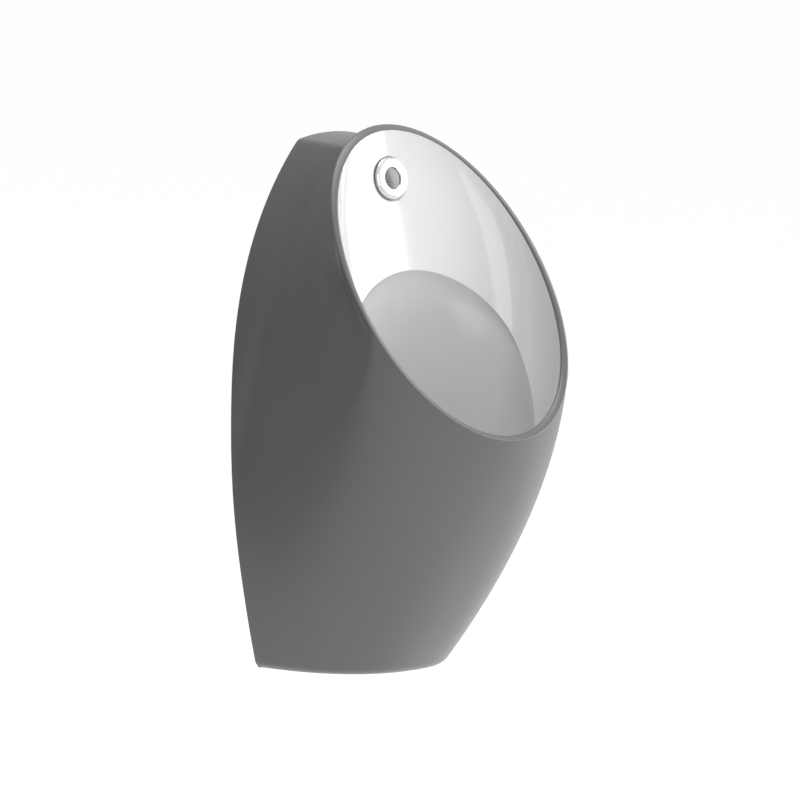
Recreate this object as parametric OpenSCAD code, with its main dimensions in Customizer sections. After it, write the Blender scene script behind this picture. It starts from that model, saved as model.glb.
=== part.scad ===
// Wall hung urinal: a ceramic body with a tilted oval bowl, a spreader with a sensor window,
// a hidden piston valve with its stop valve, a control box, a bottle trap and wall fixings.
// +X is to the right of someone who faces it, +Y points into the wall, +Z is up.
// The origin lies on the wall plane, on the centre line, at the level of the base.

/* [Overall] */
// Height of the rim's highest point over the base
overall_h = 630; // [620:1:660]
// Depth from the wall to the lip
overall_d = 319; // [312:1:335]
// Width of the body where it meets the wall
wall_w = 303; // [296:1:325]

/* [Wall outline] */
// Height of the widest level at the wall
widest_z = 271; // [262:1:285]
// Drop from the rim's highest point to the column's flat top
column_drop = 19; // [14:1:24]
// Height of the wall outline's upper half ellipse over the column's top
outline_over = 9; // [5:1:20]
// Depth of the wall outline's lower half ellipse under the base
outline_under = 154; // [144:1:169]
// Rounding between the column's flat top and its sides
column_round = 12; // [6:0.5:18]

/* [Rim] */
// Width of the bowl's mouth inside the lip
mouth_w = 295; // [288:1:300]
// Depth of the rim's highest point from the wall
rim_top_d = 88.7; // [86:0.1:92]
// Height of the rim's lowest point over the base
rim_low_z = 286; // [280:1:294]
// Fall of the lip away from the bowl's edge at the top, and its rise at the bottom
lip_lean = 4.8; // [3:0.1:6]
// Width of the lip's rounded bead
lip_w = 8; // [7:0.5:10]
// Height of the bead over the plane of the mouth
lip_rise = 3; // [1:0.25:5]

/* [Ceramic] */
// Thickness of the outer shell and of the face that meets the wall
shell_t = 10; // [8:0.5:11]
// Thickness of the bowl
bowl_t = 10; // [9:0.5:12]
// Distance from the side of the mouth in to the crease that divides the dish from the well
crease_in = 19.5; // [18:0.5:25.5]
// Drop from the rim's highest point to the crease's highest point
crease_drop = 165; // [155:1:172]
// Depth of the crease's highest point from the wall
crease_d = 134; // [131:1:137]
// Depth of the step under the crease
crease_step = 9; // [4:0.5:11]
// Height of the bowl's floor at the drain
floor_z = 150; // [148:1:156]
// Depth of the drain's axis from the wall
drain_d = 116; // [112:1:119]
// Thickness of the hanging web behind the column
web_t = 12; // [10:0.5:14]

/* [Spreader] */
// Drop from the rim's highest point to the spreader's axis on the dish
spreader_drop = 61; // [56:1:68]
// Radius of the chrome flange
flange_r = 25; // [24:0.5:28]
// Height of the chrome flange
flange_h = 6; // [5.4:0.1:7]
// Radius of the dark window
window_r = 12.5; // [11:0.5:14]
// Radius of the threaded tail
tail_r = 16; // [15.6:0.2:17]

/* [Supply] */
// Radius of the supply pipes
pipe_r = 7.5; // [7:0.1:8]
// Wall of the supply pipes
pipe_t = 1; // [0.8:0.1:1.5]
// Depth of the inlet line from the wall
inlet_d = 20; // [19:0.5:22]
// Drop from the rim's highest point to the flush valve's shoulder
valve_drop = 190; // [188:1:194]
// Drop from the flush valve's shoulder to the stop valve's axis
stop_drop = 95; // [90:1:100]
// Radius of the wall nipple's thread
nipple_r = 10.4; // [10:0.1:10.8]
// Length of the nipple behind the wall plane
nipple_l = 14; // [10:1:18]

/* [Waste] */
// Radius of the waste's threaded tail
waste_r = 21.5; // [20.5:0.5:22]
// Radius of the waste's flange
waste_flange_r = 31; // [30:0.5:32]
// Radius of the outlet pipe
outlet_r = 16; // [15:0.5:16.5]
// Drop from the bowl's floor to the outlet pipe's axis
outlet_drop = 70; // [70:1:72]
// Length of the outlet pipe behind the wall plane
outlet_l = 30; // [20:1:40]
// Radius of the trap's bottle
bottle_r = 30; // [29:0.5:31]

/* [Control box] */
// Distance from the centre line to the box
box_near = 36; // [34:1:42]
// Distance from the body's widest side in to the box
box_far_in = 39.5; // [38:0.5:44]
// Height of the box
box_h = 105; // [100:1:108]
// Depth of the box from the service plate
box_d = 38; // [37:1:42]

/* [Wall fixings] */
// Gap between the inside of the shell and the upper corner of each hanger hook
hook_side_gap = 2.952; // [1:0.001:6]
// Drop from the column's flat top to the hanger hooks' holes
hanger_drop = 71; // [70:1:74]
// Radius of the holes for the wall screws
wall_hole_r = 4.5; // [3.5:0.25:5]
// Distance from the body's widest side in to the lower brackets' holes
lower_in = 57.5; // [55.5:0.5:59.5]
// Height of the lower brackets' holes
lower_z = 38; // [34:1:40]

/* [Hidden] */
$fn = 64;
clearance = 0.1;
overrun = 30;

ceramic_grey = [0.36, 0.36, 0.37];
chrome_grey = [0.82, 0.83, 0.85];
brass_yellow = [0.78, 0.62, 0.3];
steel_grey = [0.6, 0.62, 0.64];
rubber_black = [0.12, 0.12, 0.12];
plastic_white = [0.86, 0.86, 0.84];
plastic_black = [0.1, 0.1, 0.11];

// A round tube or, with no bore, a rod
module tube(r, bore, low, high)
    difference() {
        translate([0, 0, low]) cylinder(r = r, h = high - low);
        if (bore > 0) translate([0, 0, low - overrun]) cylinder(r = bore, h = high - low + 2 * overrun);
    }
// A hexagon nut of a width across its flats, with its corners turned off at both ends
corner_share = 0.12;
module hex_nut(flats, bore, low, high)
    difference() {
        intersection() {
            translate([0, 0, low]) cylinder(r = flats / sqrt(3), h = high - low, $fn = 6);
            rotate_extrude() polygon([
                [0, low], [flats / 2, low], [flats / sqrt(3), mix(low, high, corner_share)],
                [flats / sqrt(3), mix(high, low, corner_share)], [flats / 2, high], [0, high]
            ]);
        }
        if (bore > 0) translate([0, 0, low - overrun]) cylinder(r = bore, h = high - low + 2 * overrun);
    }
module both_sides() {
    children();
    mirror([1, 0, 0]) children();
}

// Ceramic body
floor_half = 34;
around_n = 60;
half_turn = 180;
shell_n = 18;
column_h = overall_h - column_drop;
outline_up = column_h + outline_over - widest_z;
outline_down = widest_z + outline_under;
mouth_tilt = atan2(overall_d - rim_top_d, overall_h - rim_low_z);
rim_slope = tan(mouth_tilt);
outer_l = norm([overall_d - rim_top_d, overall_h - rim_low_z]) / 2;
outer_w = mouth_w / 2 + lip_w;
rim_z = (overall_h + rim_low_z) / 2;
rim_y = -(overall_d + rim_top_d) / 2;
lip_end_w = 9.9;
fan_z = rim_z - rim_y / rim_slope;

function mix(a, b, f) = a + (b - a) * f;
function soft_min(a, b, r) =
    let (h = max(0, min(1, 0.5 + 0.5 * (b - a) / r)))
    mix(b, a, h) - r * h * (1 - h);
function sgn_pow(v, p) = sign(v) * pow(abs(v), p);
// Angles round a ring, closer together at its top and bottom than at its sides
function ring_angle(i, n) = let (a = -90 + 360 * i / n) a + 10 * sin(2 * a);

shell_lag = 1.65;
top_lag = 5;
belly = 32;
wall_power = 1.9;
belly_power = 0.44;
belly_early = 0.75;
// One ring of the shell, inset from its outer face: share 0 is at the wall and 1 at the rim
function shell_point(share, a, inset) =
    let (
        s = sin(a), c = cos(a),
        upper = s >= 0,
        f = pow(share, shell_lag + (upper ? top_lag * s * s : 0)),
        half = mix(wall_w / 2, outer_w, f) - inset,
        z_top_wall = soft_min(widest_z + (outline_up - inset) * s, column_h - inset, column_round),
        z_top_rim = rim_z + (outer_l * cos(mouth_tilt) - inset) * s,
        z_mid = mix(widest_z, rim_z, f),
        z_low = mix(widest_z - outline_down, rim_z - outer_l * cos(mouth_tilt), share)
            + belly * 4 * share * (1 - share) + inset,
        power = mix(wall_power, 2, share)
            + belly_power * sin(half_turn * pow(share, belly_early)),
        x = upper ? half * c : half * sgn_pow(c, 2 / power),
        z = upper ? mix(z_top_wall, z_top_rim, f) : z_mid - (z_mid - z_low) * pow(abs(s), 2 / power)
    )
    [x, -(fan_z - z) * share * rim_slope, z];

// Distance along and over the mouth's plane turned into the part's frame
function mouth_point(x, along, over) =
    [x, rim_y + along * sin(mouth_tilt) - over * cos(mouth_tilt),
     rim_z + along * cos(mouth_tilt) + over * sin(mouth_tilt)];
// The lip is a rounded bead from the bowl's edge, which stands less tilted, out to the rim
inner_w = mouth_w / 2;
inner_l = outer_l - lip_end_w;
function lip_point(b, a) =
    let (o = (1 - cos(b)) / 2)
    mouth_point(mix(inner_w, outer_w, o) * cos(a), mix(inner_l, outer_l, o) * sin(a),
        lip_rise * sin(b) + lip_lean * sin(a) * (1 - o));

// Rows down the bowl: back, middle and front places [y, z], half the width, and a power
function yz(p) = [p[1], p[2]];
mouth_row = [
    yz(mouth_point(0, inner_l, lip_lean)), [rim_y, rim_z], yz(mouth_point(0, -inner_l, -lip_lean)),
    inner_w, 2
];
// Where the dish would meet the mouth if its edge didn't curl forward to the lip
dish_end_l = outer_l - lip_w;
dish_end_row = [
    yz(mouth_point(0, dish_end_l, 0)), [rim_y, rim_z], yz(mouth_point(0, -dish_end_l, 0)),
    inner_w, 2
];
curl_share = 0.35;
crease_side_back = 15;
crease_side_drop = 92;
crease_power = 1.95;
crease_front_in = 37;
crease_front_drop = 72;
crease_z = overall_h - crease_drop;
crease_half = mouth_w / 2 - crease_in;
crease_row = [
    [-crease_d, crease_z],
    [rim_y + crease_side_back, rim_z - crease_side_drop],
    [dish_end_row[2][0] + crease_front_in, dish_end_row[2][1] - crease_front_drop],
    crease_half,
    crease_power
];
floor_row = [
    [-drain_d + floor_half, floor_z], [-drain_d, floor_z], [-drain_d - floor_half, floor_z], floor_half, 2
];
dish_hollow = 5;
// Rows of the well as shares of the way from the crease to the floor
well_shares = [
    [[0.00, 0.00], [0.00, 0.00], [0.00, 0.00], 0.00],
    [[0.42, 0.21], [0.14, 0.27], [0.14, 0.36], 0.04],
    [[0.74, 0.46], [0.34, 0.52], [0.31, 0.63], 0.19],
    [[1.04, 0.70], [0.62, 0.75], [0.57, 0.83], 0.46],
    [[1.10, 0.89], [0.86, 0.92], [0.86, 0.97], 0.69],
    [[1.00, 1.00], [1.00, 1.00], [1.00, 1.00], 1.00]
];
function mix_row(a, b, s) = [
    for (k = [0 : 2]) [mix(a[k][0], b[k][0], s[k][0]), mix(a[k][1], b[k][1], s[k][1])],
    mix(a[3], b[3], s[3]),
    mix(a[4], b[4], s[3])
];
function curve(p, q, r, s, f) =
    0.5 * (2 * q + (r - p) * f + (2 * p - 5 * q + 4 * r - s) * f * f
        + (3 * q - p - 3 * r + s) * f * f * f);
// A row part of the way down the table, on a smooth curve through its neighbours
function well_row(t) =
    let (n = len(well_shares) - 1, i = min(n - 1, floor(t * n)), f = t * n - i,
         w = well_shares, p = w[max(0, i - 1)], q = w[i], r = w[i + 1], s = w[min(n, i + 2)])
    mix_row(crease_row, floor_row, [for (k = [0 : 3]) curve(p[k], q[k], r[k], s[k], f)]);
function dish_row(t) =
    let (row = mix(dish_end_row, crease_row, t)
            + (mouth_row - dish_end_row) * pow(max(0, 1 - t / curl_share), 2))
    [row[0], row[1], row[2], row[3] + dish_hollow * 4 * t * (1 - t), row[4]];
function row_point(row, a) =
    let (s = sin(a), p = 2 / row[4], end = s >= 0 ? row[0] : row[2],
         yz = mix(row[1], end, pow(abs(s), p)))
    [row[3] * sgn_pow(cos(a), p), yz[0], yz[1]];
// Just under the crease the back of the well steps back, which fades out towards the front
step_down = 11;
step_fade = 0.16;
function step_in(t, a) =
    let (s = sin(a), b = max(0, min(1, (s + 0.25) / 0.8)))
    b * b * (3 - 2 * b) * exp(-t / step_fade) * (1 - t)
        * [crease_step * cos(a), crease_step * max(0, s), -step_down];
function well_point(t, a) = row_point(well_row(t), a) + step_in(t, a);

// The back of the bowl lies one thickness behind a bowl with its step filled
dish_share = 0.34;
function backed_point(t, a) =
    t < dish_share
        ? row_point(dish_row(t / dish_share), a) + step_in(1 - t / dish_share, a)
        : let (w = (t - dish_share) / (1 - dish_share)) row_point(well_row(w), a) + step_in(w, a);
function unit(v) = v / norm(v);
probe = 0.01;
function back_point(t, a) =
    let (
        u = max(probe, min(1 - probe, t)),
        across = backed_point(u, a + 2) - backed_point(u, a - 2),
        down = backed_point(u + probe, a) - backed_point(u - probe, a)
    )
    t > 1 - probe
        ? backed_point(1, a) - [0, 0, bowl_t]
        : backed_point(u, a) + bowl_t * unit(cross(down, across));

dish_n = 8;
well_n = 14;
lip_n = 5;
cavity_n = 9;
back_n = 12;
cavity_end_side_share = 0.62;
cavity_end_top_share = 0.78;
cavity_end_front_share = 0.6;
back_start_side_share = 0.54;
back_start_top_share = 0.1;
back_start_front_share = 0.7;
function by_side(a, side, top, front) =
    let (s = sin(a)) mix(side, s >= 0 ? top : front, s * s);
angles = [for (i = [0 : around_n - 1]) ring_angle(i, around_n)];
rings = [
    for (k = [well_n : -1 : 0]) [for (a = angles) well_point(k / well_n, a)],
    for (k = [dish_n : -1 : 0]) [for (a = angles) row_point(dish_row(k / dish_n), a)],
    for (k = [1 : lip_n - 1]) [for (a = angles) lip_point(half_turn * k / lip_n, a)],
    for (k = [shell_n : -1 : 0]) [for (a = angles) shell_point(k / shell_n, a, 0)],
    for (k = [0 : cavity_n]) [
        for (a = angles)
            shell_point(k / cavity_n * by_side(a, cavity_end_side_share, cavity_end_top_share,
                cavity_end_front_share), a, shell_t)
    ],
    for (k = [0 : back_n]) [
        for (a = angles)
            back_point(mix(by_side(a, back_start_side_share, back_start_top_share,
                back_start_front_share), 1, k / back_n), a)
    ]
];
ring_count = len(rings);
ring_faces = concat(
    [[for (i = [around_n - 1 : -1 : 0]) i]],
    [for (k = [0 : ring_count - 2], i = [0 : around_n - 1])
        let (a = k * around_n + i, b = k * around_n + (i + 1) % around_n)
        each [[a, b, a + around_n], [b, b + around_n, a + around_n]]],
    [[for (i = [0 : around_n - 1]) (ring_count - 1) * around_n + i]]
);

// The spreader stands square on the dish
spreader_z = overall_h - spreader_drop;
spreader_share = (dish_end_row[0][1] - spreader_z) / (dish_end_row[0][1] - crease_row[0][1]);
spreader_y = mix(dish_end_row[0][0], crease_row[0][0], spreader_share);
spreader_tilt = atan2(dish_end_row[0][0] - crease_row[0][0], dish_end_row[0][1] - crease_row[0][1]);
module at_spreader() translate([0, spreader_y, spreader_z]) rotate([90 - spreader_tilt, 0, 0]) children();
seat_in = 1;
seat_edge = 1.5;
seat_floor = 9;
back_face_r = 28;
back_face_deep = 48;
tail_hole_r = tail_r + 0.8;

// The waste hangs in a drilled seat of the floor
waste_seat_in = 3;
waste_hole_r = waste_r + 1.5;

// Half the width of the wall outline at a height over its widest level
function outline_half(z) = wall_w / 2 * sqrt(1 - pow((z - widest_z) / outline_up, 2));

// Hanging web: a plate across the upper back, with one window for each hook
hanger_z = column_h - hanger_drop;
web_under = 40;
web_low_z = hanger_z - web_under;
web_inset = 5;
window_half_w = 20;
window_low = 26;
window_high = 17;
hook_half_w = 18;
hook_lip_h = 9;
hanger_gap = 2 * (outline_half(hanger_z + window_high + hook_lip_h) - shell_t - hook_side_gap - hook_half_w);
module hanging_web()
    rotate([90, 0, 0]) linear_extrude(web_t)
        difference() {
            intersection() {
                polygon([for (a = angles) let (p = shell_point(0, a, web_inset)) [p[0], p[2]]]);
                translate([-wall_w, web_low_z]) square([2 * wall_w, overall_h]);
            }
            both_sides()
                translate([hanger_gap / 2 - window_half_w, hanger_z - window_low])
                    square([2 * window_half_w, window_low + window_high]);
        }

// Lower lugs: ledges on the inside of the shell, each drilled for a bolt
lug_low_z = 60;
lug_t = 12;
lower_gap = wall_w - 2 * lower_in;
lug_near = 14;
lug_far_in = 29.5;
lug_in = lower_gap / 2 - lug_near;
lug_out = wall_w / 2 - lug_far_in;
lug_back = 16;
lug_front = 50;
lug_bolt_y = -33;
lug_bolt_r = 4;
lug_hole_gap = 0.5;
module lower_lugs()
    both_sides() difference() {
        translate([lug_in, -lug_front, lug_low_z]) cube([lug_out - lug_in, lug_front - lug_back, lug_t]);
        translate([lower_gap / 2, lug_bolt_y, lug_low_z - overrun])
            cylinder(r = lug_bolt_r + lug_hole_gap, h = 3 * overrun);
    }

module ceramic_body() color(ceramic_grey)
    difference() {
        union() {
            difference() {
                polyhedron([for (r = rings) each r], ring_faces, 4);
                translate([-wall_w, -overall_d, -overall_h])
                    cube([2 * wall_w, 2 * overall_d, overall_h]);
            }
            hanging_web();
            lower_lugs();
        }
        at_spreader() {
            translate([0, 0, -seat_in]) cylinder(r = flange_r + seat_edge, h = overrun);
            translate([0, 0, -seat_floor - back_face_deep]) cylinder(r = back_face_r, h = back_face_deep);
            translate([0, 0, -overrun]) cylinder(r = tail_hole_r, h = 2 * overrun);
        }
        translate([0, -drain_d, floor_z - overrun]) cylinder(r = waste_hole_r, h = 2 * overrun);
        translate([0, -drain_d, floor_z - waste_seat_in])
            cylinder(r = waste_flange_r + seat_edge, h = overrun);
    }

// Hanger hooks: a plate on the wall, a tongue that the web rests on, and a lip in front of it
hook_t = 3;
hook_low = 13;
hook_lip_gap = 1.5;
module hanger_hooks() color(steel_grey)
    both_sides() translate([hanger_gap / 2, 0, hanger_z]) difference() {
        union() {
            translate([-hook_half_w, -hook_t, -hook_low])
                cube([2 * hook_half_w, hook_t, hook_low + window_high]);
            translate([-hook_half_w, -web_t - hook_lip_gap - hook_t, window_high - hook_t])
                cube([2 * hook_half_w, web_t + hook_lip_gap + hook_t, hook_t]);
            translate([-hook_half_w, -web_t - hook_lip_gap - hook_t, window_high - hook_t])
                cube([2 * hook_half_w, hook_t, hook_t + hook_lip_h]);
        }
        rotate([90, 0, 0]) translate([0, 0, -overrun]) cylinder(r = wall_hole_r, h = 2 * overrun);
    }

// Lower brackets: angles with one leg on the wall and one under the lug
bracket_t = 3;
bracket_half_w = 10;
bracket_low = 18;
module lower_brackets() color(steel_grey)
    both_sides() difference() {
        union() {
            translate([lower_gap / 2 - bracket_half_w, -bracket_t, bracket_low])
                cube([2 * bracket_half_w, bracket_t, lug_low_z - bracket_low]);
            translate([lower_gap / 2 - bracket_half_w, -lug_front, lug_low_z - bracket_t])
                cube([2 * bracket_half_w, lug_front, bracket_t]);
        }
        translate([lower_gap / 2, 0, lower_z]) rotate([90, 0, 0])
            translate([0, 0, -overrun]) cylinder(r = wall_hole_r, h = 2 * overrun);
        translate([lower_gap / 2, lug_bolt_y, lug_low_z - overrun])
            cylinder(r = lug_bolt_r + clearance, h = 2 * overrun);
    }
bolt_flats = 13;
bolt_head_h = 5.3;
bolt_over = 14;
washer_t = 2;
washer_r = 9;
lower_nut_h = 6.5;
module at_lug() both_sides() translate([lower_gap / 2, lug_bolt_y, 0]) children();
module lower_bolts() color(steel_grey) at_lug() {
    hex_nut(bolt_flats, 0, lug_low_z - bracket_t - bolt_head_h, lug_low_z - bracket_t);
    tube(lug_bolt_r, 0, lug_low_z - bracket_t, lug_low_z + lug_t + bolt_over);
}
module lug_washers() color(rubber_black) at_lug()
    tube(washer_r, lug_bolt_r + clearance, lug_low_z + lug_t, lug_low_z + lug_t + washer_t);
module lower_nuts() color(steel_grey) at_lug()
    hex_nut(bolt_flats, lug_bolt_r, lug_low_z + lug_t + washer_t, lug_low_z + lug_t + washer_t + lower_nut_h);

// Spreader: a domed flange on a hollow tail, with a slot for the water under its lower edge
tail_bore_r = 13;
tail_l = 46;
window_seat = 2.6;
window_t = 2;
eye_r = 9.4;
slot_low = 0.4;
slot_high = 1.8;
slot_half_w = 10;
flange_edge_h = 3;
flange_crest_r = 20;
flange_lip = 0.9;
module spreader_flange() color(chrome_grey) at_spreader()
    difference() {
        union() {
            rotate_extrude() polygon([
                [0, 0], [flange_r, 0],
                each [for (k = [0 : 6]) let (a = 15 * k)
                    [mix(flange_crest_r, flange_r, cos(a)), mix(flange_edge_h, flange_h, sin(a))]],
                [window_r + flange_lip, flange_h - flange_lip / 2],
                [window_r + clearance, window_seat + window_t],
                [0, window_seat + window_t]
            ]);
            tube(tail_r, 0, -tail_l, 0);
        }
        translate([0, 0, -tail_l - overrun]) cylinder(r = tail_bore_r, h = tail_l + overrun + slot_high);
        translate([0, 0, window_seat]) cylinder(r = window_r + clearance, h = overrun);
        cylinder(r = eye_r + clearance, h = overrun);
        translate([-slot_half_w, -flange_r - overrun, slot_low])
            cube([2 * slot_half_w, flange_r + overrun - tail_bore_r / 2, slot_high - slot_low]);
    }
module flange_gasket() color(rubber_black) at_spreader()
    tube(flange_r - seat_edge, tail_r + clearance, -seat_in, 0);
window_crown = 0.6;
module sensor_window() color([0.2, 0.2, 0.22]) at_spreader()
    rotate_extrude() polygon([
        [0, window_seat], [window_r, window_seat], [window_r, window_seat + window_t - window_crown],
        each [for (k = [1 : 6]) let (s = k / 6)
            [window_r * (1 - s), window_seat + window_t - window_crown * pow(1 - s, 2)]]
    ]);
capsule_r = 10;
capsule_l = 34;
capsule_ribs = 3;
rib_t = 2;
module sensor_capsule() color(plastic_black) at_spreader() {
    difference() {
        union() {
            tube(capsule_r, 0, slot_high - capsule_l, slot_high);
            tube(eye_r, 0, slot_high, window_seat);
            for (k = [0 : capsule_ribs - 1]) rotate([0, 0, 90 + 360 * k / capsule_ribs])
                translate([0, -rib_t / 2, slot_high - capsule_l])
                    cube([tail_bore_r - clearance, rib_t, capsule_l - flange_h]);
        }
        cylinder(r = capsule_r / 4, h = overrun);
    }
}
back_gasket_t = 2;
clamp_washer_t = 1.5;
lock_nut_h = 8;
lock_nut_flats = 42;
back_r = 24;
module back_gasket() color(rubber_black) at_spreader()
    tube(back_r, tail_r + clearance, -seat_floor - back_gasket_t, -seat_floor);
clamp_z = -seat_floor - back_gasket_t;
module clamp_washer() color(brass_yellow) at_spreader()
    tube(back_r, tail_r + clearance, clamp_z - clamp_washer_t, clamp_z);
module lock_nut() color(brass_yellow) at_spreader()
    hex_nut(lock_nut_flats, tail_r, clamp_z - clamp_washer_t - lock_nut_h, clamp_z - clamp_washer_t);

// Inlet elbow: a socket on the tail and a branch that turns down to the supply pipe
elbow_r = 19;
elbow_in = 10;
elbow_chamber = 14;
elbow_end = 7;
branch_r = 12;
branch_l = 30;
turn_z = -tail_l - elbow_chamber / 2;
supply_y = spreader_y - turn_z * cos(spreader_tilt);
turn_height = spreader_z + turn_z * sin(spreader_tilt);
branch_low_z = turn_height - branch_l;
pipe_in = 9;
module inlet_elbow() color(brass_yellow)
    difference() {
        union() {
            at_spreader() tube(elbow_r, 0, -tail_l - elbow_chamber - elbow_end, -tail_l + elbow_in);
            translate([0, supply_y, branch_low_z]) cylinder(r = branch_r, h = branch_l);
        }
        at_spreader() {
            translate([0, 0, -tail_l]) cylinder(r = tail_r, h = overrun);
            translate([0, 0, -tail_l - elbow_chamber]) cylinder(r = tail_bore_r, h = elbow_chamber + overrun);
            translate([0, 0, -tail_l - elbow_chamber - overrun]) cylinder(r = cable_r, h = 2 * overrun);
        }
        translate([0, supply_y, branch_low_z - overrun])
            cylinder(r = pipe_r - pipe_t, h = branch_l + overrun);
        translate([0, supply_y, branch_low_z - overrun]) cylinder(r = pipe_r, h = pipe_in + overrun);
    }
gland_flats = 12;
gland_l = 8;
cable_r = 3;
module gland(low)
    difference() {
        union() {
            hex_nut(gland_flats, 0, low, low + gland_l / 2);
            tube(gland_flats * 0.4, 0, low + gland_l / 2, low + gland_l);
        }
        translate([0, 0, low - overrun]) cylinder(r = cable_r, h = gland_l + 2 * overrun);
    }
module sensor_gland() color(plastic_black) at_spreader()
    mirror([0, 0, 1]) gland(tail_l + elbow_chamber + elbow_end);

// Supply line: the upper pipe hangs from the elbow, the lower one stands nearer the wall
module on_upper() translate([0, supply_y, 0]) children();
module on_lower() translate([0, -inlet_d, 0]) children();
valve_z = overall_h - valve_drop;
stop_z = valve_z - stop_drop;
union_flats = 24;
union_h = 10;
boss_r = 12;
outlet_boss_h = 34;
inlet_boss_h = 38;
valve_top_z = valve_z + outlet_boss_h;
valve_low_z = valve_z - inlet_boss_h;
stop_half_h = 26;
stop_top_z = stop_z + stop_half_h;
filter_rim_t = 1;
module union_nut(low) hex_nut(union_flats, pipe_r, low, low + union_h);
module upper_pipe() color(chrome_grey) on_upper()
    tube(pipe_r, pipe_r - pipe_t, valve_top_z - pipe_in, branch_low_z + pipe_in);
module elbow_nut() color(brass_yellow) on_upper() union_nut(branch_low_z - union_h);
module outlet_union_nut() color(brass_yellow) on_upper() union_nut(valve_top_z);
module lower_pipe() color(chrome_grey) on_lower()
    tube(pipe_r, pipe_r - pipe_t, stop_top_z - pipe_in, valve_low_z + pipe_in - filter_rim_t);
module inlet_union_nut() color(brass_yellow) on_lower() union_nut(valve_low_z - union_h);
module stop_union_nut() color(brass_yellow) on_lower() union_nut(stop_top_z);

// Flush valve: a piston under a seat, held shut until the plunger of the magnet opens its bleed hole
chamber_r = 15;
chamber_t = 5;
chamber_floor = 7;
chamber_open = 28;
seat_r = 8;
seat_bore_r = 5;
seat_h = 8;
passage_r = 3.5;
block_half_w = 9;
bonnet_t = 5;
core_r = 5.6;
core_bore_r = 4.6;
core_l = 32;
core_end_t = 2.5;
screw_r = 1.5;
screw_off = chamber_r + chamber_t / 2;
screw_count = 4;
screw_in = 9;
screw_head_r = 2.4;
screw_head_h = 2.4;
bleed_r = 0.75;
running = 0.05;
module at_valve() translate([0, supply_y, valve_z]) rotate([180, 0, 0]) children();
module screw_places() for (k = [0 : screw_count - 1]) rotate([0, 0, 45 + 360 * k / screw_count])
    translate([screw_off, 0, 0]) children();
module valve_body() color(brass_yellow)
    difference() {
        union() {
            on_upper() tube(boss_r, 0, valve_z - chamber_floor, valve_top_z);
            on_lower() tube(boss_r, 0, valve_low_z, valve_z);
            at_valve() tube(chamber_r + chamber_t, 0, 0, chamber_open);
            translate([-block_half_w, supply_y, valve_z - chamber_floor - seat_h - passage_r])
                cube([2 * block_half_w, -inlet_d - supply_y, chamber_floor + seat_h + passage_r]);
        }
        difference() {
            at_valve() translate([0, 0, chamber_floor]) cylinder(r = chamber_r, h = overrun);
            at_valve() tube(seat_r, 0, 0, chamber_floor + seat_h);
        }
        on_upper() {
            translate([0, 0, valve_z - overrun]) cylinder(r = seat_bore_r, h = 2 * overrun);
            translate([0, 0, valve_z]) cylinder(r = pipe_r - pipe_t, h = outlet_boss_h + overrun);
            translate([0, 0, valve_top_z - pipe_in]) cylinder(r = pipe_r, h = overrun);
        }
        translate([0, -inlet_d, valve_z - chamber_floor - seat_h / 2]) rotate([90, 0, 0])
            cylinder(r = passage_r, h = -supply_y - inlet_d - (chamber_r + seat_r) / 2);
        on_lower() {
            translate([0, 0, valve_low_z - overrun])
                cylinder(r = pipe_r - pipe_t, h = inlet_boss_h - chamber_floor + overrun);
            translate([0, 0, valve_low_z - overrun]) cylinder(r = pipe_r, h = pipe_in + overrun);
        }
        at_valve() screw_places() translate([0, 0, chamber_open - screw_in])
            cylinder(r = screw_r, h = overrun);
    }
piston_low = chamber_floor + seat_h + running;
piston_t = 4;
piston_cup_r = 5;
module valve_piston() color(plastic_white) at_valve()
    difference() {
        tube(chamber_r - running, 0, piston_low, piston_low + piston_t);
        translate([0, 0, piston_low + piston_t / 2]) cylinder(r = piston_cup_r, h = overrun);
        translate([(chamber_r + seat_r) / 2, 0, 0]) cylinder(r = bleed_r, h = overrun);
    }
// A spring wound as one tube of six sides
spring_steps = 8;
spring_turns = 4;
spring_wire = 0.5;
spring_gap = 0.1;
module wound_spring(r, low, high) {
    n = spring_turns * spring_steps;
    pts = [
        for (k = [0 : n], i = [0 : 5])
            let (a = 360 * k / spring_steps, ro = r + spring_wire * cos(60 * i),
                 z = mix(low + spring_wire, high - spring_wire, k / n) + spring_wire * sin(60 * i))
            [ro * cos(a), ro * sin(a), z]
    ];
    polyhedron(pts, concat(
        [[0, 1, 2, 3, 4, 5]],
        [for (k = [0 : n - 1], i = [0 : 5]) let (a = 6 * k + i, b = 6 * k + (i + 1) % 6)
            each [[a, a + 6, b], [b, a + 6, b + 6]]],
        [[for (i = [5 : -1 : 0]) 6 * n + i]]), 4);
}
piston_spring_r = 3.8;
module piston_spring() color(steel_grey) at_valve()
    wound_spring(piston_spring_r, piston_low + piston_t / 2 + spring_gap, chamber_open - spring_gap);
module valve_bonnet() color(brass_yellow) at_valve()
    difference() {
        union() {
            tube(chamber_r + chamber_t, 0, chamber_open, chamber_open + bonnet_t);
            tube(core_r, 0, chamber_open, chamber_open + bonnet_t + core_l);
        }
        translate([0, 0, chamber_open + bonnet_t]) cylinder(r = core_bore_r, h = core_l - core_end_t);
        cylinder(r = bleed_r, h = chamber_open + bonnet_t + clearance);
        screw_places() cylinder(r = screw_r + clearance, h = 2 * overrun);
    }
module bonnet_screws() color(steel_grey) at_valve() screw_places()
    difference() {
        union() {
            tube(screw_r, 0, chamber_open - screw_in, chamber_open + bonnet_t);
            tube(screw_head_r, 0, chamber_open + bonnet_t, chamber_open + bonnet_t + screw_head_h);
        }
        translate([0, 0, chamber_open + bonnet_t + screw_head_h / 2])
            cylinder(r = screw_r * 0.8, h = overrun, $fn = 6);
    }
plunger_low = chamber_open + bonnet_t + running;
plunger_l = 18;
plunger_cup_r = 3.2;
plunger_cup_in = 2;
plunger_spring_r = 2.3;
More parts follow.
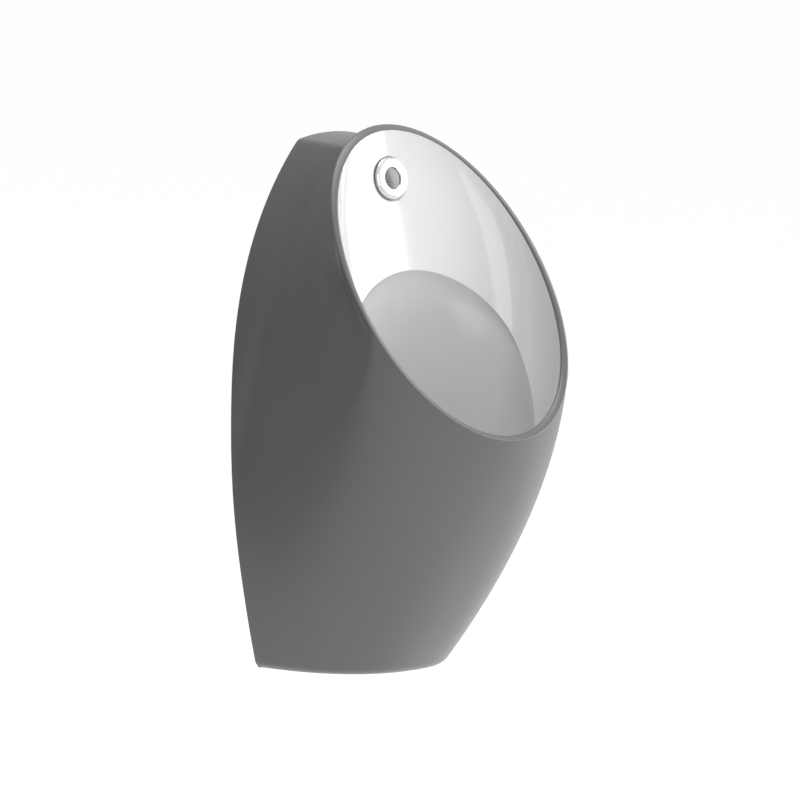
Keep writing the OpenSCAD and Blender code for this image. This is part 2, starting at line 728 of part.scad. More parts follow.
module plunger() color(steel_grey) at_valve()
    difference() {
        tube(core_bore_r - running, 0, plunger_low, plunger_low + plunger_l);
        translate([0, 0, plunger_low + plunger_l - plunger_cup_in]) cylinder(r = plunger_cup_r, h = overrun);
    }
core_end = chamber_open + bonnet_t + core_l - core_end_t;
module plunger_spring() color(steel_grey) at_valve()
    wound_spring(plunger_spring_r, plunger_low + plunger_l - plunger_cup_in + spring_gap,
        core_end - spring_gap);
coil_r = 14;
coil_l = 24;
coil_low = chamber_open + bonnet_t;
terminal_w = 16;
terminal_h = 9;
module coil() color(plastic_black) at_valve()
    difference() {
        union() {
            tube(coil_r, 0, coil_low, coil_low + coil_l);
            translate([coil_r - terminal_h / 2, -terminal_w / 2, coil_low + coil_l - terminal_w])
                cube([terminal_h, terminal_w, terminal_w]);
        }
        translate([0, 0, coil_low - overrun]) cylinder(r = core_r, h = coil_l + 2 * overrun);
    }
coil_nut_h = 4;
coil_nut_flats = 17;
module coil_nut() color(steel_grey) at_valve()
    hex_nut(coil_nut_flats, core_r, coil_low + coil_l, coil_low + coil_l + coil_nut_h);
filter_t = 0.8;
filter_l = 14;
filter_hole_r = 1;
filter_around = 6;
filter_rows = 3;
module inlet_filter() color(plastic_white) on_lower()
    translate([0, 0, valve_low_z + pipe_in]) difference() {
        union() {
            tube(pipe_r, 0, -filter_rim_t, 0);
            tube(pipe_r - pipe_t - clearance, 0, 0, filter_l);
        }
        translate([0, 0, -overrun])
            cylinder(r = pipe_r - pipe_t - clearance - filter_t, h = filter_l - filter_t + overrun);
        for (k = [0 : filter_around - 1], j = [1 : filter_rows])
            rotate([0, 0, 360 * k / filter_around]) translate([0, 0, filter_l * j / (filter_rows + 1)])
                rotate([0, 90, 0]) cylinder(r = filter_hole_r, h = overrun);
    }

// Stop valve: a quarter turn ball with a lever at its side
ball_r = 11;
ball_gap = 0.08;
ball_bore_r = 6;
stop_shell_r = 15;
spindle_r = 4;
tang_t = 3;
tang_w = 7;
tang_in = 3;
neck_r = 8;
neck_l = 23;
packing_flats = 19;
packing_h = 6;
lever_l = 40;
lever_t = 5;
lever_hub_r = 8;
lever_end_r = 5;
lever_gap = 0.5;
lever_low = neck_l + packing_h + lever_gap;
spigot_out = 2;
groove_w = 1;
groove_in = 0.8;
module at_stop() translate([0, -inlet_d, stop_z]) children();
module along_x() rotate([0, 90, 0]) children();
module along_y() rotate([-90, 0, 0]) children();
module stop_valve_body() color(brass_yellow) at_stop()
    difference() {
        union() {
            sphere(r = stop_shell_r);
            tube(boss_r, 0, 0, stop_half_h);
            along_x() tube(neck_r, 0, 0, neck_l);
            along_y() tube(boss_r, 0, 0, inlet_d + spigot_out - groove_w);
            along_y() tube(nipple_r - groove_in, 0, 0, inlet_d + nipple_l);
            along_y() tube(nipple_r, 0, inlet_d + spigot_out, inlet_d + nipple_l);
        }
        sphere(r = ball_r + ball_gap);
        cylinder(r = pipe_r - pipe_t, h = stop_half_h + overrun);
        translate([0, 0, stop_half_h - pipe_in]) cylinder(r = pipe_r, h = overrun);
        along_x() cylinder(r = spindle_r + running, h = neck_l + overrun);
        along_y() cylinder(r = pipe_r - pipe_t, h = inlet_d + nipple_l + overrun);
    }
module stop_ball() color(chrome_grey) at_stop()
    difference() {
        sphere(r = ball_r);
        cylinder(r = ball_bore_r, h = overrun);
        along_y() cylinder(r = ball_bore_r, h = overrun);
        sphere(r = ball_bore_r);
        translate([ball_r - tang_in, -tang_t / 2, -ball_r]) cube([overrun, tang_t, 2 * ball_r]);
    }
module stop_spindle() color(steel_grey) at_stop() along_x() {
    tube(spindle_r, 0, ball_r + ball_gap, lever_low + lever_t);
    intersection() {
        translate([-tang_w / 2, -tang_t / 2, ball_r - tang_in]) cube([tang_w, tang_t, tang_in + lever_t]);
        tube(spindle_r, 0, 0, neck_l);
    }
}
module packing_nut() color(brass_yellow) at_stop() along_x()
    hex_nut(packing_flats, spindle_r + running, neck_l, neck_l + packing_h);
module stop_handle() color([0.7, 0.12, 0.1]) at_stop() along_x()
    difference() {
        translate([0, 0, lever_low]) linear_extrude(lever_t) union() {
            circle(r = lever_hub_r);
            translate([0, -lever_end_r]) square([lever_l, 2 * lever_end_r]);
            translate([lever_l, 0]) circle(r = lever_end_r);
        }
        translate([0, 0, lever_low - overrun]) cylinder(r = spindle_r, h = 2 * overrun);
    }
handle_screw_flats = 12;
handle_screw_h = 3;
module handle_screw() color(steel_grey) at_stop() along_x()
    difference() {
        hex_nut(handle_screw_flats, 0, lever_low + lever_t, lever_low + lever_t + handle_screw_h);
        translate([0, 0, lever_low + lever_t + handle_screw_h / 2])
            cylinder(r = screw_r, h = overrun, $fn = 6);
    }

// Service plate on the wall: it carries the control box and the pipe clip
plate_t = 2;
box_left = wall_w / 2 - box_far_in;
box_w = box_left - box_near;
plate_past_box = 4;
plate_left = box_left + plate_past_box;
plate_right = 30;
plate_under = 23;
plate_over = 6;
plate_low_z = stop_z - plate_under;
plate_high_z = valve_z + plate_over;
plate_neck_half = 22;
plate_hole_r = 3;
plate_hole_in = 9;
nipple_hole_r = 16;
clip_over = 51;
clip_h = 10;
clip_edge = 2;
clip_z = valve_z + clip_over;
plate_neck_z = clip_z + clip_h / 2 + clip_edge;
plate_hole_x = [-plate_left + plate_hole_in, plate_right - plate_hole_in];
plate_hole_z = [plate_low_z + plate_hole_in, plate_high_z - plate_hole_in];
module service_plate() color(steel_grey)
    difference() {
        rotate([90, 0, 0]) linear_extrude(plate_t) union() {
            translate([-plate_left, plate_low_z])
                square([plate_left + plate_right, plate_high_z - plate_low_z]);
            translate([-plate_neck_half, plate_low_z])
                square([2 * plate_neck_half, plate_neck_z - plate_low_z]);
        }
        for (x = plate_hole_x, z = plate_hole_z) translate([x, overrun, z]) rotate([90, 0, 0])
            cylinder(r = plate_hole_r, h = 2 * overrun);
        translate([0, overrun, stop_z]) rotate([90, 0, 0]) cylinder(r = nipple_hole_r, h = 2 * overrun);
    }
clip_t = 2.5;
clip_base_half = 16;
mouth_half = 4.5;
module pipe_clip() color(plastic_white) translate([0, 0, clip_z - clip_h / 2])
    difference() {
        union() {
            translate([0, supply_y, 0]) cylinder(r = pipe_r + clip_t, h = clip_h);
            translate([-clip_t, supply_y, 0]) cube([2 * clip_t, -supply_y - plate_t, clip_h]);
            translate([-clip_base_half, -plate_t - clip_t, 0]) cube([2 * clip_base_half, clip_t, clip_h]);
        }
        translate([0, supply_y, -overrun]) cylinder(r = pipe_r, h = 3 * overrun);
        translate([-mouth_half, supply_y - pipe_r - overrun, -overrun])
            cube([2 * mouth_half, overrun + pipe_r / 2, 3 * overrun]);
    }

// Control box with its cover, board and four cells
box_under = 107;
box_low_z = valve_z - box_under;
box_t = 2.5;
box_gasket_t = 1;
cover_t = 3;
corner_post = 4;
box_front = -plate_t - box_d;
module box_shape(inset, low, high)
    translate([-box_left + inset, low, box_low_z + inset])
        cube([box_w - 2 * inset, high - low, box_h - 2 * inset]);
post_places = [
    for (x = [-box_left + corner_post, -box_left + box_w - corner_post],
         z = [box_low_z + corner_post, box_low_z + box_h - corner_post]) [x, z]
];
module box_screw_holes(r)
    for (p = post_places) translate([p[0], box_front + screw_in, p[1]]) rotate([90, 0, 0])
        cylinder(r = r, h = overrun);
module control_box() color(plastic_white)
    difference() {
        union() {
            difference() {
                box_shape(0, box_front, -plate_t);
                box_shape(box_t, box_front - overrun, -plate_t - box_t);
            }
            for (p = post_places) translate([p[0] - corner_post, box_front, p[1] - corner_post])
                cube([2 * corner_post, box_d, 2 * corner_post]);
        }
        box_screw_holes(screw_r);
        for (x = gland_x) translate([x, gland_y, box_low_z + box_h - overrun / 2])
            cylinder(r = cable_r, h = overrun);
    }
module cover_gasket() color(rubber_black)
    difference() {
        box_shape(0, box_front - box_gasket_t, box_front);
        box_shape(2 * corner_post, box_front - overrun, box_front + overrun);
        box_screw_holes(screw_r + clearance);
    }
module control_cover() color(plastic_white)
    difference() {
        union() {
            box_shape(0, box_front - box_gasket_t - cover_t, box_front - box_gasket_t);
            box_shape(2 * corner_post + clearance, box_front - box_gasket_t - cover_t, box_front + box_t);
        }
        box_shape(3 * corner_post, box_front - box_gasket_t, box_front + overrun);
        box_screw_holes(screw_r + clearance);
    }
cover_face = box_front - box_gasket_t - cover_t;
module cover_screws() color(steel_grey)
    for (p = post_places) translate([p[0], cover_face, p[1]]) rotate([90, 0, 0])
        difference() {
            union() {
                tube(screw_r, 0, cover_face - box_front - screw_in, 0);
                tube(screw_head_r, 0, 0, screw_head_h);
            }
            translate([0, 0, screw_head_h / 2]) cylinder(r = screw_r * 0.8, h = overrun, $fn = 6);
        }
board_t = 1.6;
board_h = 26;
part_t = 3;
module circuit_board() color([0.1, 0.35, 0.15]) {
    x = -box_left + box_t;
    w = box_w - 2 * box_t;
    z = box_low_z + box_h - 2 * corner_post - board_h;
    translate([x, -plate_t - box_t - board_t, z]) cube([w, board_t, board_h]);
    for (k = [0 : 2])
        translate([x + w * (k + 0.5) / 3 - part_t, -plate_t - box_t - board_t - part_t, z + board_h / 3])
            cube([2 * part_t, part_t, board_h / 3]);
}
cell_r = 7.2;
cell_l = 50.5;
cell_post_r = 2.7;
cell_post_h = 1;
cell_gap = 0.3;
tray_h = 12;
tray_floor = 1.5;
module tray_shape(inset, low, high)
    translate([-box_left + box_w / 2 - 2 * (cell_r + cell_gap) - cell_post_h + inset,
               -plate_t - box_t - 4 * (cell_r + cell_gap) - cell_post_h + inset, low])
        cube([4 * (cell_r + cell_gap) + 2 * (cell_post_h - inset),
              4 * (cell_r + cell_gap) + cell_post_h - 2 * inset, high - low]);
module battery_tray() color(plastic_black)
    difference() {
        tray_shape(0, box_low_z + box_t, box_low_z + box_t + tray_h);
        for (p = cell_places) translate([p[0], p[1], box_low_z + box_t + tray_floor])
            cylinder(r = cell_r, h = overrun);
    }
cell_places = [
    for (i = [-1, 1], j = [1, 3])
        [-box_left + box_w / 2 + i * (cell_r + cell_gap), -plate_t - box_t - j * (cell_r + cell_gap)]
];
module batteries() color([0.2, 0.4, 0.25])
    for (p = cell_places)
        translate([p[0], p[1], box_low_z + box_t + tray_floor]) {
            tube(cell_r, 0, 0, cell_l - cell_post_h);
            tube(cell_post_r, 0, cell_l - cell_post_h, cell_l);
        }
gland_x = [-box_left + box_w / 4, -box_left + 3 * box_w / 4];
gland_y = -plate_t - box_d / 2;
module cable_glands() color(plastic_black)
    for (x = gland_x) translate([x, gland_y, 0]) gland(box_low_z + box_h);

// Waste, drilled through the floor of the bowl
module at_drain() translate([0, -drain_d, 0]) children();
waste_gasket_t = 1;
waste_bore_r = waste_r - 3;
waste_tail_l = 42;
waste_tail_low = floor_z - waste_tail_l;
waste_seat_z = floor_z - waste_seat_in;
waste_rim_t = 2.5;
strainer_seat_r = 27;
strainer_seat_in = 1.2;
module waste_gasket() color(rubber_black) at_drain()
    tube(waste_flange_r - waste_gasket_t, waste_r + clearance, waste_seat_z, waste_seat_z + waste_gasket_t);
waste_rim_z = waste_seat_z + waste_gasket_t;
module waste_flange() color(chrome_grey) at_drain()
    difference() {
        union() {
            rotate_extrude() polygon([
                [0, waste_rim_z], [waste_flange_r, waste_rim_z],
                each [for (k = [0 : 4]) let (a = 22.5 * k)
                    [waste_flange_r - waste_rim_t * (1 - cos(a)), waste_rim_z + waste_rim_t * sin(a)]],
                [0, waste_rim_z + waste_rim_t]
            ]);
            tube(waste_r, 0, waste_tail_low, waste_rim_z);
        }
        translate([0, 0, waste_tail_low - overrun]) cylinder(r = waste_bore_r, h = 3 * overrun);
        translate([0, 0, waste_rim_z + waste_rim_t - strainer_seat_in])
            cylinder(r = strainer_seat_r, h = overrun);
    }
strainer_gap = 0.3;
strainer_t = 1.5;
strainer_crown = 4;
strainer_hole_r = 2.4;
strainer_top_share = 0.9;
strainer_rings_shares = [[6, 0.4], [12, 0.78]];
strainer_z = waste_rim_z + waste_rim_t - strainer_seat_in;
module waste_strainer() color(steel_grey) at_drain()
    difference() {
        rotate_extrude() polygon([
            [0, strainer_z + strainer_crown - strainer_t],
            each [for (k = [1 : 6]) let (s = k / 6)
                [waste_bore_r * s, strainer_z + (strainer_crown - strainer_t) * (1 - s * s)]],
            [strainer_seat_r - strainer_gap, strainer_z],
            [strainer_seat_r - strainer_gap, strainer_z + strainer_t / 2],
            each [for (k = [6 : -1 : 0]) let (s = k / 6)
                [strainer_top_share * strainer_seat_r * s,
                 strainer_z + strainer_t + (strainer_crown - strainer_t) * (1 - s * s)]]
        ]);
        for (r = strainer_rings_shares, k = [0 : r[0] - 1]) rotate([0, 0, 360 * k / r[0]])
            translate([waste_bore_r * r[1], 0, strainer_z - overrun])
                cylinder(r = strainer_hole_r, h = 2 * overrun);
    }
lower_seal_t = 2;
waste_washer_t = 1.5;
waste_nut_h = 8;
waste_nut_flats = 54;
waste_washer_r = 29;
underside_z = floor_z - bowl_t;
module lower_seal() color(rubber_black) at_drain()
    tube(waste_washer_r, waste_r + clearance, underside_z - lower_seal_t, underside_z);
module waste_washer() color(steel_grey) at_drain()
    tube(waste_washer_r, waste_r + clearance, underside_z - lower_seal_t - waste_washer_t,
        underside_z - lower_seal_t);
module waste_locknut() color(brass_yellow) at_drain()
    hex_nut(waste_nut_flats, waste_r, underside_z - lower_seal_t - waste_washer_t - waste_nut_h,
        underside_z - lower_seal_t - waste_washer_t);

// Bottle trap: a dip tube in a bottle whose lower cup screws off
dip_r = 15;
dip_t = 2;
outlet_z = floor_z - outlet_drop;
dip_under = 46;
dip_low = outlet_z - dip_under;
dip_flange_t = 2.5;
trap_nut_flats = 50;
trap_nut_lip = 3.5;
trap_nut_h = 18;
trap_nut_low = waste_tail_low - dip_flange_t - trap_nut_lip;
module trap_nut() color(plastic_white) at_drain()
    difference() {
        hex_nut(trap_nut_flats, 0, trap_nut_low, trap_nut_low + trap_nut_h);
        translate([0, 0, trap_nut_low + trap_nut_lip]) cylinder(r = waste_r, h = overrun);
        translate([0, 0, trap_nut_low - overrun]) cylinder(r = dip_r + clearance, h = 2 * overrun);
    }
bottle_t = 2.5;
bottle_top = trap_nut_low - 4 * clearance;
bottle_under = 30;
bottle_low = outlet_z - bottle_under;
skirt_r = 27;
skirt_h = 9;
skirt_t = 2.5;
stub_r = outlet_r + 3;
stub_in = 25;
stub_out = 44;
socket_in = 10;
module at_outlet() translate([0, -drain_d, outlet_z]) along_y() children();
module trap_body() color(plastic_white)
    difference() {
        union() {
            at_drain() tube(bottle_r, bottle_r - bottle_t, bottle_low, bottle_top);
            at_drain() tube(bottle_r, dip_r - dip_t, bottle_top - bottle_t, bottle_top);
            at_drain() tube(bottle_r, skirt_r - skirt_t, bottle_low, bottle_low + bottle_t);
            at_drain() tube(skirt_r, skirt_r - skirt_t, bottle_low - skirt_h, bottle_low + bottle_t);
            at_drain() tube(dip_r, dip_r - dip_t, dip_low, waste_tail_low);
            at_drain() tube(waste_r - 2 * clearance, dip_r - dip_t, waste_tail_low - dip_flange_t,
                waste_tail_low);
            at_outlet() tube(stub_r, 0, stub_in, stub_out);
        }
        at_outlet() translate([0, 0, (dip_r + stub_in) / 2]) cylinder(r = outlet_r - bottle_t, h = overrun);
        at_outlet() translate([0, 0, stub_out - socket_in]) cylinder(r = outlet_r, h = overrun);
    }
cup_under = 58;
cup_low = outlet_z - cup_under;
cup_t = 3;
cup_seal_t = 0.8;
cup_thread_l = skirt_h;
grip_count = 20;
grip_r = 1.6;
module trap_cup() color(plastic_white) at_drain()
    difference() {
        translate([0, 0, cup_low]) cylinder(r = bottle_r, h = bottle_low - cup_seal_t - cup_low);
        translate([0, 0, bottle_low - cup_seal_t - cup_thread_l]) cylinder(r = skirt_r, h = overrun);
        translate([0, 0, cup_low + cup_t]) cylinder(r = skirt_r - skirt_t, h = overrun);
        for (k = [0 : grip_count - 1]) rotate([0, 0, 360 * k / grip_count])
            translate([bottle_r + grip_r / 2, 0, cup_low - overrun]) cylinder(r = grip_r, h = 2 * overrun);
    }
module cup_seal() color(rubber_black) at_drain()
    tube(bottle_r - cup_seal_t, skirt_r, bottle_low - cup_seal_t, bottle_low);
outlet_nut_flats = 46;
outlet_nut_on = 8;
outlet_nut_lip = 6;
module outlet_nut() color(plastic_white) at_outlet()
    difference() {
        hex_nut(outlet_nut_flats, 0, stub_out - outlet_nut_on, stub_out + outlet_nut_lip);
        translate([0, 0, stub_out - overrun]) cylinder(r = stub_r, h = overrun);
        cylinder(r = outlet_r, h = stub_out + 2 * overrun);
    }
outlet_pipe_t = 1.8;
module outlet_pipe() color(plastic_white) at_outlet()
    difference() {
        union() {
            tube(outlet_r, 0, stub_out - socket_in, drain_d + spigot_out - groove_w);
            tube(outlet_r - groove_in, 0, stub_out, drain_d + outlet_l);
            tube(outlet_r, 0, drain_d + spigot_out, drain_d + outlet_l);
        }
        cylinder(r = outlet_r - outlet_pipe_t, h = 2 * drain_d);
    }
wall_seal_t = 6;
wall_seal_r = 24;
module wall_seal() color(rubber_black) at_outlet()
    tube(wall_seal_r, outlet_r, drain_d - wall_seal_t, drain_d);
ceramic_body();
hanger_hooks();
lower_brackets();
lower_bolts();
lower_nuts();
lug_washers();
spreader_flange();
flange_gasket();
sensor_window();
sensor_capsule();
back_gasket();
clamp_washer();
lock_nut();
inlet_elbow();
sensor_gland();
upper_pipe();
elbow_nut();
outlet_union_nut();
valve_body();
valve_piston();
piston_spring();
valve_bonnet();
bonnet_screws();
plunger();
plunger_spring();
coil();
coil_nut();
inlet_filter();
inlet_union_nut();
lower_pipe();
stop_union_nut();
stop_valve_body();
stop_ball();
stop_spindle();
packing_nut();
stop_handle();
handle_screw();
service_plate();
pipe_clip();
control_box();
control_cover();
cover_gasket();
cover_screws();
circuit_board();
battery_tray();
batteries();
cable_glands();
waste_flange();
waste_gasket();
waste_strainer();
lower_seal();
waste_washer();
waste_locknut();
trap_nut();
trap_body();
trap_cup();
cup_seal();
outlet_nut();
outlet_pipe();
wall_seal();
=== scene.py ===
"""Wall hung urinal: its finishes, its fine ceramic surface and the studio round it.

The frame holds the urinal in metres: +X to the right of someone who faces it, +Y into the
wall, +Z up, with the origin on the wall plane at the level of the base.
"""
import math
import bmesh
import bpy
import numpy as np
from mathutils import Matrix, Vector


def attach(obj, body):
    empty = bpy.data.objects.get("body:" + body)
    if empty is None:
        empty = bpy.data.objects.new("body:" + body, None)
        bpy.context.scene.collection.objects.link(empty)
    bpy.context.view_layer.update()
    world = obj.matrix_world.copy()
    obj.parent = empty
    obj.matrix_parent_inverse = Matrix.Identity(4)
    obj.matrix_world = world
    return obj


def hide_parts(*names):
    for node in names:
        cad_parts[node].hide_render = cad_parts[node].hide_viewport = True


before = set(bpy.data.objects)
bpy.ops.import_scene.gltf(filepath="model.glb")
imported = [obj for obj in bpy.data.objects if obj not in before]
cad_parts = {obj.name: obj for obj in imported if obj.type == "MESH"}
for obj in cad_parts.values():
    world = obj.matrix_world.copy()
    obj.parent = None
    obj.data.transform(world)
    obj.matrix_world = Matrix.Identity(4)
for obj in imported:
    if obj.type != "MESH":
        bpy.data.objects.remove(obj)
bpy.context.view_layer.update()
MM = 0.001

# The view.
# The photograph looks at the left side of the urinal from a little above, through a lens so
# long that parallel edges stay parallel, so the camera here has no perspective at all.
view_azimuth = math.radians(-44.86)
view_elevation = math.radians(8.47)
mm_per_pixel = 1.152
photo_side = 800
origin_pixel = (324.15, 657.78)
camera_distance = 3.0
right = Vector((math.cos(view_azimuth), math.sin(view_azimuth), 0))
back = Vector((
    math.sin(view_azimuth) * math.cos(view_elevation),
    -math.cos(view_azimuth) * math.cos(view_elevation),
    math.sin(view_elevation),
))
up = back.cross(right)
pixel = mm_per_pixel * MM
target = (right * (photo_side / 2 - origin_pixel[0])
          + up * (origin_pixel[1] - photo_side / 2)) * pixel
lens = bpy.data.cameras.new("view")
lens.type = "ORTHO"
lens.ortho_scale = photo_side * pixel
camera = bpy.data.objects.new("view", lens)
camera.matrix_world = Matrix.Translation(target + back * camera_distance) @ (
    Matrix((right, up, back)).transposed().to_4x4())
bpy.context.scene.collection.objects.link(camera)
bpy.context.scene.camera = camera
bpy.context.scene.view_settings.view_transform = "Standard"

# Ceramic body.
# One vitreous china casting: slip fills a plaster mould, the piece is dried, sprayed with a grey
# satin glaze outside and a white gloss glaze in the bowl, and fired once. The two glazes meet on
# the inner edge of the lip, and the hollow back is left bare. It hangs by a web on its upper back.
overall_h, overall_d, wall_w = 630.0, 319.0, 303.0
widest_z, column_h, outline_over, outline_under, column_round = 271.0, 611.0, 9.0, 154.0, 2.4
shoulder_up, shoulder_power, shoulder_bow = 369.4, 2.655, 0.826
crown_rise, crown_fall = 1.2, 0.0021
mouth_w, rim_top_d, rim_low_z = 295.0, 88.7, 286.0
lip_w, lip_end_w, lip_rise, lip_lean, lip_power = 8.0, 9.9, 3.0, 4.8, 2.7
lip_top_cut, lip_front_cut = 0.45, 0.35
shell_t, bowl_t = 10.0, 10.0
outline_up = column_h + outline_over - widest_z
outline_down = widest_z + outline_under
mouth_tilt = math.atan2(overall_d - rim_top_d, overall_h - rim_low_z)
rim_slope = math.tan(mouth_tilt)
outer_l = math.hypot(overall_d - rim_top_d, overall_h - rim_low_z) / 2
outer_w = mouth_w / 2 + lip_w
inner_w, inner_l = mouth_w / 2, outer_l - lip_end_w
rim_z, rim_y = (overall_h + rim_low_z) / 2, -(overall_d + rim_top_d) / 2
fan_z = rim_z - rim_y / rim_slope
around, crowding = 256, 10


def mix(a, b, f):
    """The value a share f of the way from a to b."""
    return a + (b - a) * f


def soft_min(a, b, r):
    """The smaller of a and b, with a parabola of reach r over the change."""
    h = np.clip(0.5 + 0.5 * (b - a) / r, 0, 1)
    return mix(b, a, h) - r * h * (1 - h)


def signed_power(v, p):
    """|v| to the power p, with the sign of v."""
    return np.sign(v) * np.abs(v) ** p


# Each ring's angles start at its lowest place, and crowd towards its top and bottom.
even = -90 + 360 * np.arange(around) / around
angles = np.radians(even + crowding * np.sin(np.radians(2 * even)))
sines, cosines = np.sin(angles)[None, :], np.cos(angles)[None, :]

shell_lag, top_lag, belly, wall_power, belly_power, belly_early = 1.65, 5.0, 32.0, 1.9, 0.44, 0.75


def column_top(x, inset):
    """The column's top: a flat crown, highest on the centre line and falling as x squared."""
    return column_h + crown_rise - inset - crown_fall * x ** 2


def shell_surface(share, inset):
    """Outer skin: each ring leans between the upright outline on the wall and the tilted rim.

    A ring's height and half width run from the wall outline's to the rim's by a power of the
    share, later at the top than at the sides; its depth is the share of the slope's fan. Above
    its widest level the wall outline's half width falls off as (1 - sine^power)^bow, which is
    fuller low down and straighter at the shoulder than an ellipse, whose powers are 2 and 1/2.
    """
    upper = sines >= 0
    f = share ** (shell_lag + np.where(upper, top_lag * sines ** 2, 0))
    half = mix(wall_w / 2, outer_w, f) - inset
    bowed = (1 - np.abs(sines) ** shoulder_power) ** shoulder_bow * np.sign(cosines)
    across = np.where(upper, half * mix(bowed, cosines, f), half * cosines)
    z_top_wall = soft_min(widest_z + (shoulder_up - inset) * sines,
                          column_top(across, inset), column_round)
    z_top_rim = rim_z + (outer_l * math.cos(mouth_tilt) - inset) * sines
    z_low = (mix(widest_z - outline_down, rim_z - outer_l * math.cos(mouth_tilt), share)
             + belly * 4 * share * (1 - share) + inset)
    power = (mix(wall_power, 2, share)
             + belly_power * np.sin(math.pi * share ** belly_early))
    z_mid = mix(widest_z, rim_z, f)
    x = np.where(upper, across, half * signed_power(cosines, 2 / power))
    z = np.where(upper, mix(z_top_wall, z_top_rim, f),
                 z_mid - (z_mid - z_low) * np.abs(sines) ** (2 / power))
    return np.stack([x, -(fan_z - z) * share * rim_slope, z], -1)


def mouth_surface(across, along, over):
    """Places given across, along and over the tilted plane of the mouth."""
    return np.stack([
        across + 0 * along, rim_y + along * math.sin(mouth_tilt) - over * math.cos(mouth_tilt),
        rim_z + along * math.cos(mouth_tilt) + over * math.sin(mouth_tilt)], -1)


def lip_surface(turn):
    """The lip's bead, carried round the mouth from the bowl's edge out to the rim.

    Across, it runs from the inner ellipse to the outer one as a superellipse does, flat on top
    and tight at its corners; the inner edge leans away at the top and stands up at the bottom,
    and the bead is lower at both ends of the mouth than at its sides.
    """
    out = (1 - signed_power(np.cos(turn), 2 / lip_power)) / 2
    rise = lip_rise * np.abs(np.sin(turn)) ** (2 / lip_power)
    rise = rise * (1 - np.where(sines > 0, lip_top_cut, lip_front_cut) * sines ** 2)
    return mouth_surface(mix(inner_w, outer_w, out) * cosines, mix(inner_l, outer_l, out) * sines,
                         rise + lip_lean * sines * (1 - out))


def mouth_yz(along, over):
    """Depth and height of a place on the mouth's centre line."""
    return mouth_surface(0, along, over)[1:].tolist()


# A row across the bowl holds y and z at its back, middle and front, then half width and power.
dish_end_l = outer_l - lip_w
mouth_row = np.array([
    *mouth_yz(inner_l, lip_lean), rim_y, rim_z, *mouth_yz(-inner_l, -lip_lean), inner_w, 2])
dish_end_row = np.array([
    *mouth_yz(dish_end_l, 0), rim_y, rim_z, *mouth_yz(-dish_end_l, 0), inner_w, 2])
crease_in, crease_down, crease_d, crease_step, crease_power = 19.5, 165.0, 134.0, 9.0, 1.95
crease_z = overall_h - crease_down
crease_side_back, crease_side_drop, crease_front_in, crease_front_drop = 15.0, 92.0, 37.0, 72.0
crease_row = np.array([
    -crease_d, crease_z, rim_y + crease_side_back, rim_z - crease_side_drop,
    dish_end_row[4] + crease_front_in, dish_end_row[5] - crease_front_drop,
    mouth_w / 2 - crease_in, crease_power])
floor_z, floor_half, drain_d = 150.0, 34.0, 116.0
floor_row = np.array([
    -drain_d + floor_half, floor_z, -drain_d, floor_z, -drain_d - floor_half, floor_z,
    floor_half, 2])
dish_hollow, curl_share = 5.0, 0.35
# Shares of the way from the crease to the floor, at six levels, for each of a row's values.
well_shares = np.array([
    [0.00, 0.00, 0.00, 0.00, 0.00, 0.00, 0.00],
    [0.42, 0.21, 0.14, 0.27, 0.14, 0.36, 0.04],
    [0.74, 0.46, 0.34, 0.52, 0.31, 0.63, 0.19],
    [1.04, 0.70, 0.62, 0.75, 0.57, 0.83, 0.46],
    [1.10, 0.89, 0.86, 0.92, 0.86, 0.97, 0.69],
    [1.00, 1.00, 1.00, 1.00, 1.00, 1.00, 1.00]])
well_shares = np.hstack([well_shares, well_shares[:, -1:]])
step_down, step_fade, step_grow = 11.0, 0.16, 0.03
step_front, step_spread = 0.25, 0.8


def well_rows(t):
    """Rows from the crease to the floor, on a Catmull-Rom curve through the table of shares."""
    last = len(well_shares) - 1
    i = np.minimum(last - 1, np.floor(t * last)).astype(int)
    f = (t * last - i)[:, None]
    p, q = well_shares[np.maximum(0, i - 1)], well_shares[i]
    r, s = well_shares[i + 1], well_shares[np.minimum(last, i + 2)]
    share = 0.5 * (2 * q + (r - p) * f + (2 * p - 5 * q + 4 * r - s) * f ** 2
                   + (3 * q - p - 3 * r + s) * f ** 3)
    return mix(crease_row, floor_row, share)


def dish_rows(t):
    """Rows from the mouth to the crease: bulged half way, and curled forward to the lip."""
    curl = np.maximum(0, 1 - t / curl_share) ** 2
    rows = mix(dish_end_row, crease_row, t[:, None]) + (mouth_row - dish_end_row) * curl[:, None]
    rows[:, 6] += dish_hollow * 4 * t * (1 - t)
    return rows


def row_surface(rows):
    """Each row as a superellipse: half width across, and from its middle to its back or front."""
    power = 2 / rows[:, 7:8]
    w = np.abs(sines) ** power
    end_y = np.where(sines >= 0, rows[:, 0:1], rows[:, 4:5])
    end_z = np.where(sines >= 0, rows[:, 1:2], rows[:, 5:6])
    return np.stack([rows[:, 6:7] * signed_power(cosines, power),
                     mix(rows[:, 2:3], end_y, w), mix(rows[:, 3:4], end_z, w)], -1)


def step_in(t):
    """The ledge under the crease: it fades down the well and towards the front."""
    b = np.clip((sines + step_front) / step_spread, 0, 1)
    reach = b * b * (3 - 2 * b) * np.exp(-t[:, None] / step_fade) * (1 - t[:, None])
    side, deep = crease_step * cosines, crease_step * np.maximum(0, sines)
    return reach[..., None] * np.stack([side, deep, -step_down + 0 * side], -1)


def eased(points, passes, fixed):
    """Points smoothed along each column by a five point bell, but for the fixed end rows."""
    out = points.copy()
    for _ in range(passes):
        bell = (out[:-4] + 4 * out[1:-3] + 6 * out[2:-2] + 4 * out[3:-1] + out[4:]) / 16
        out[2 + fixed:-2 - fixed] = bell[fixed:len(bell) - fixed]
    return out


crease_at, back_rows, back_passes, foot_rows = 0.34, 241, 6, 8


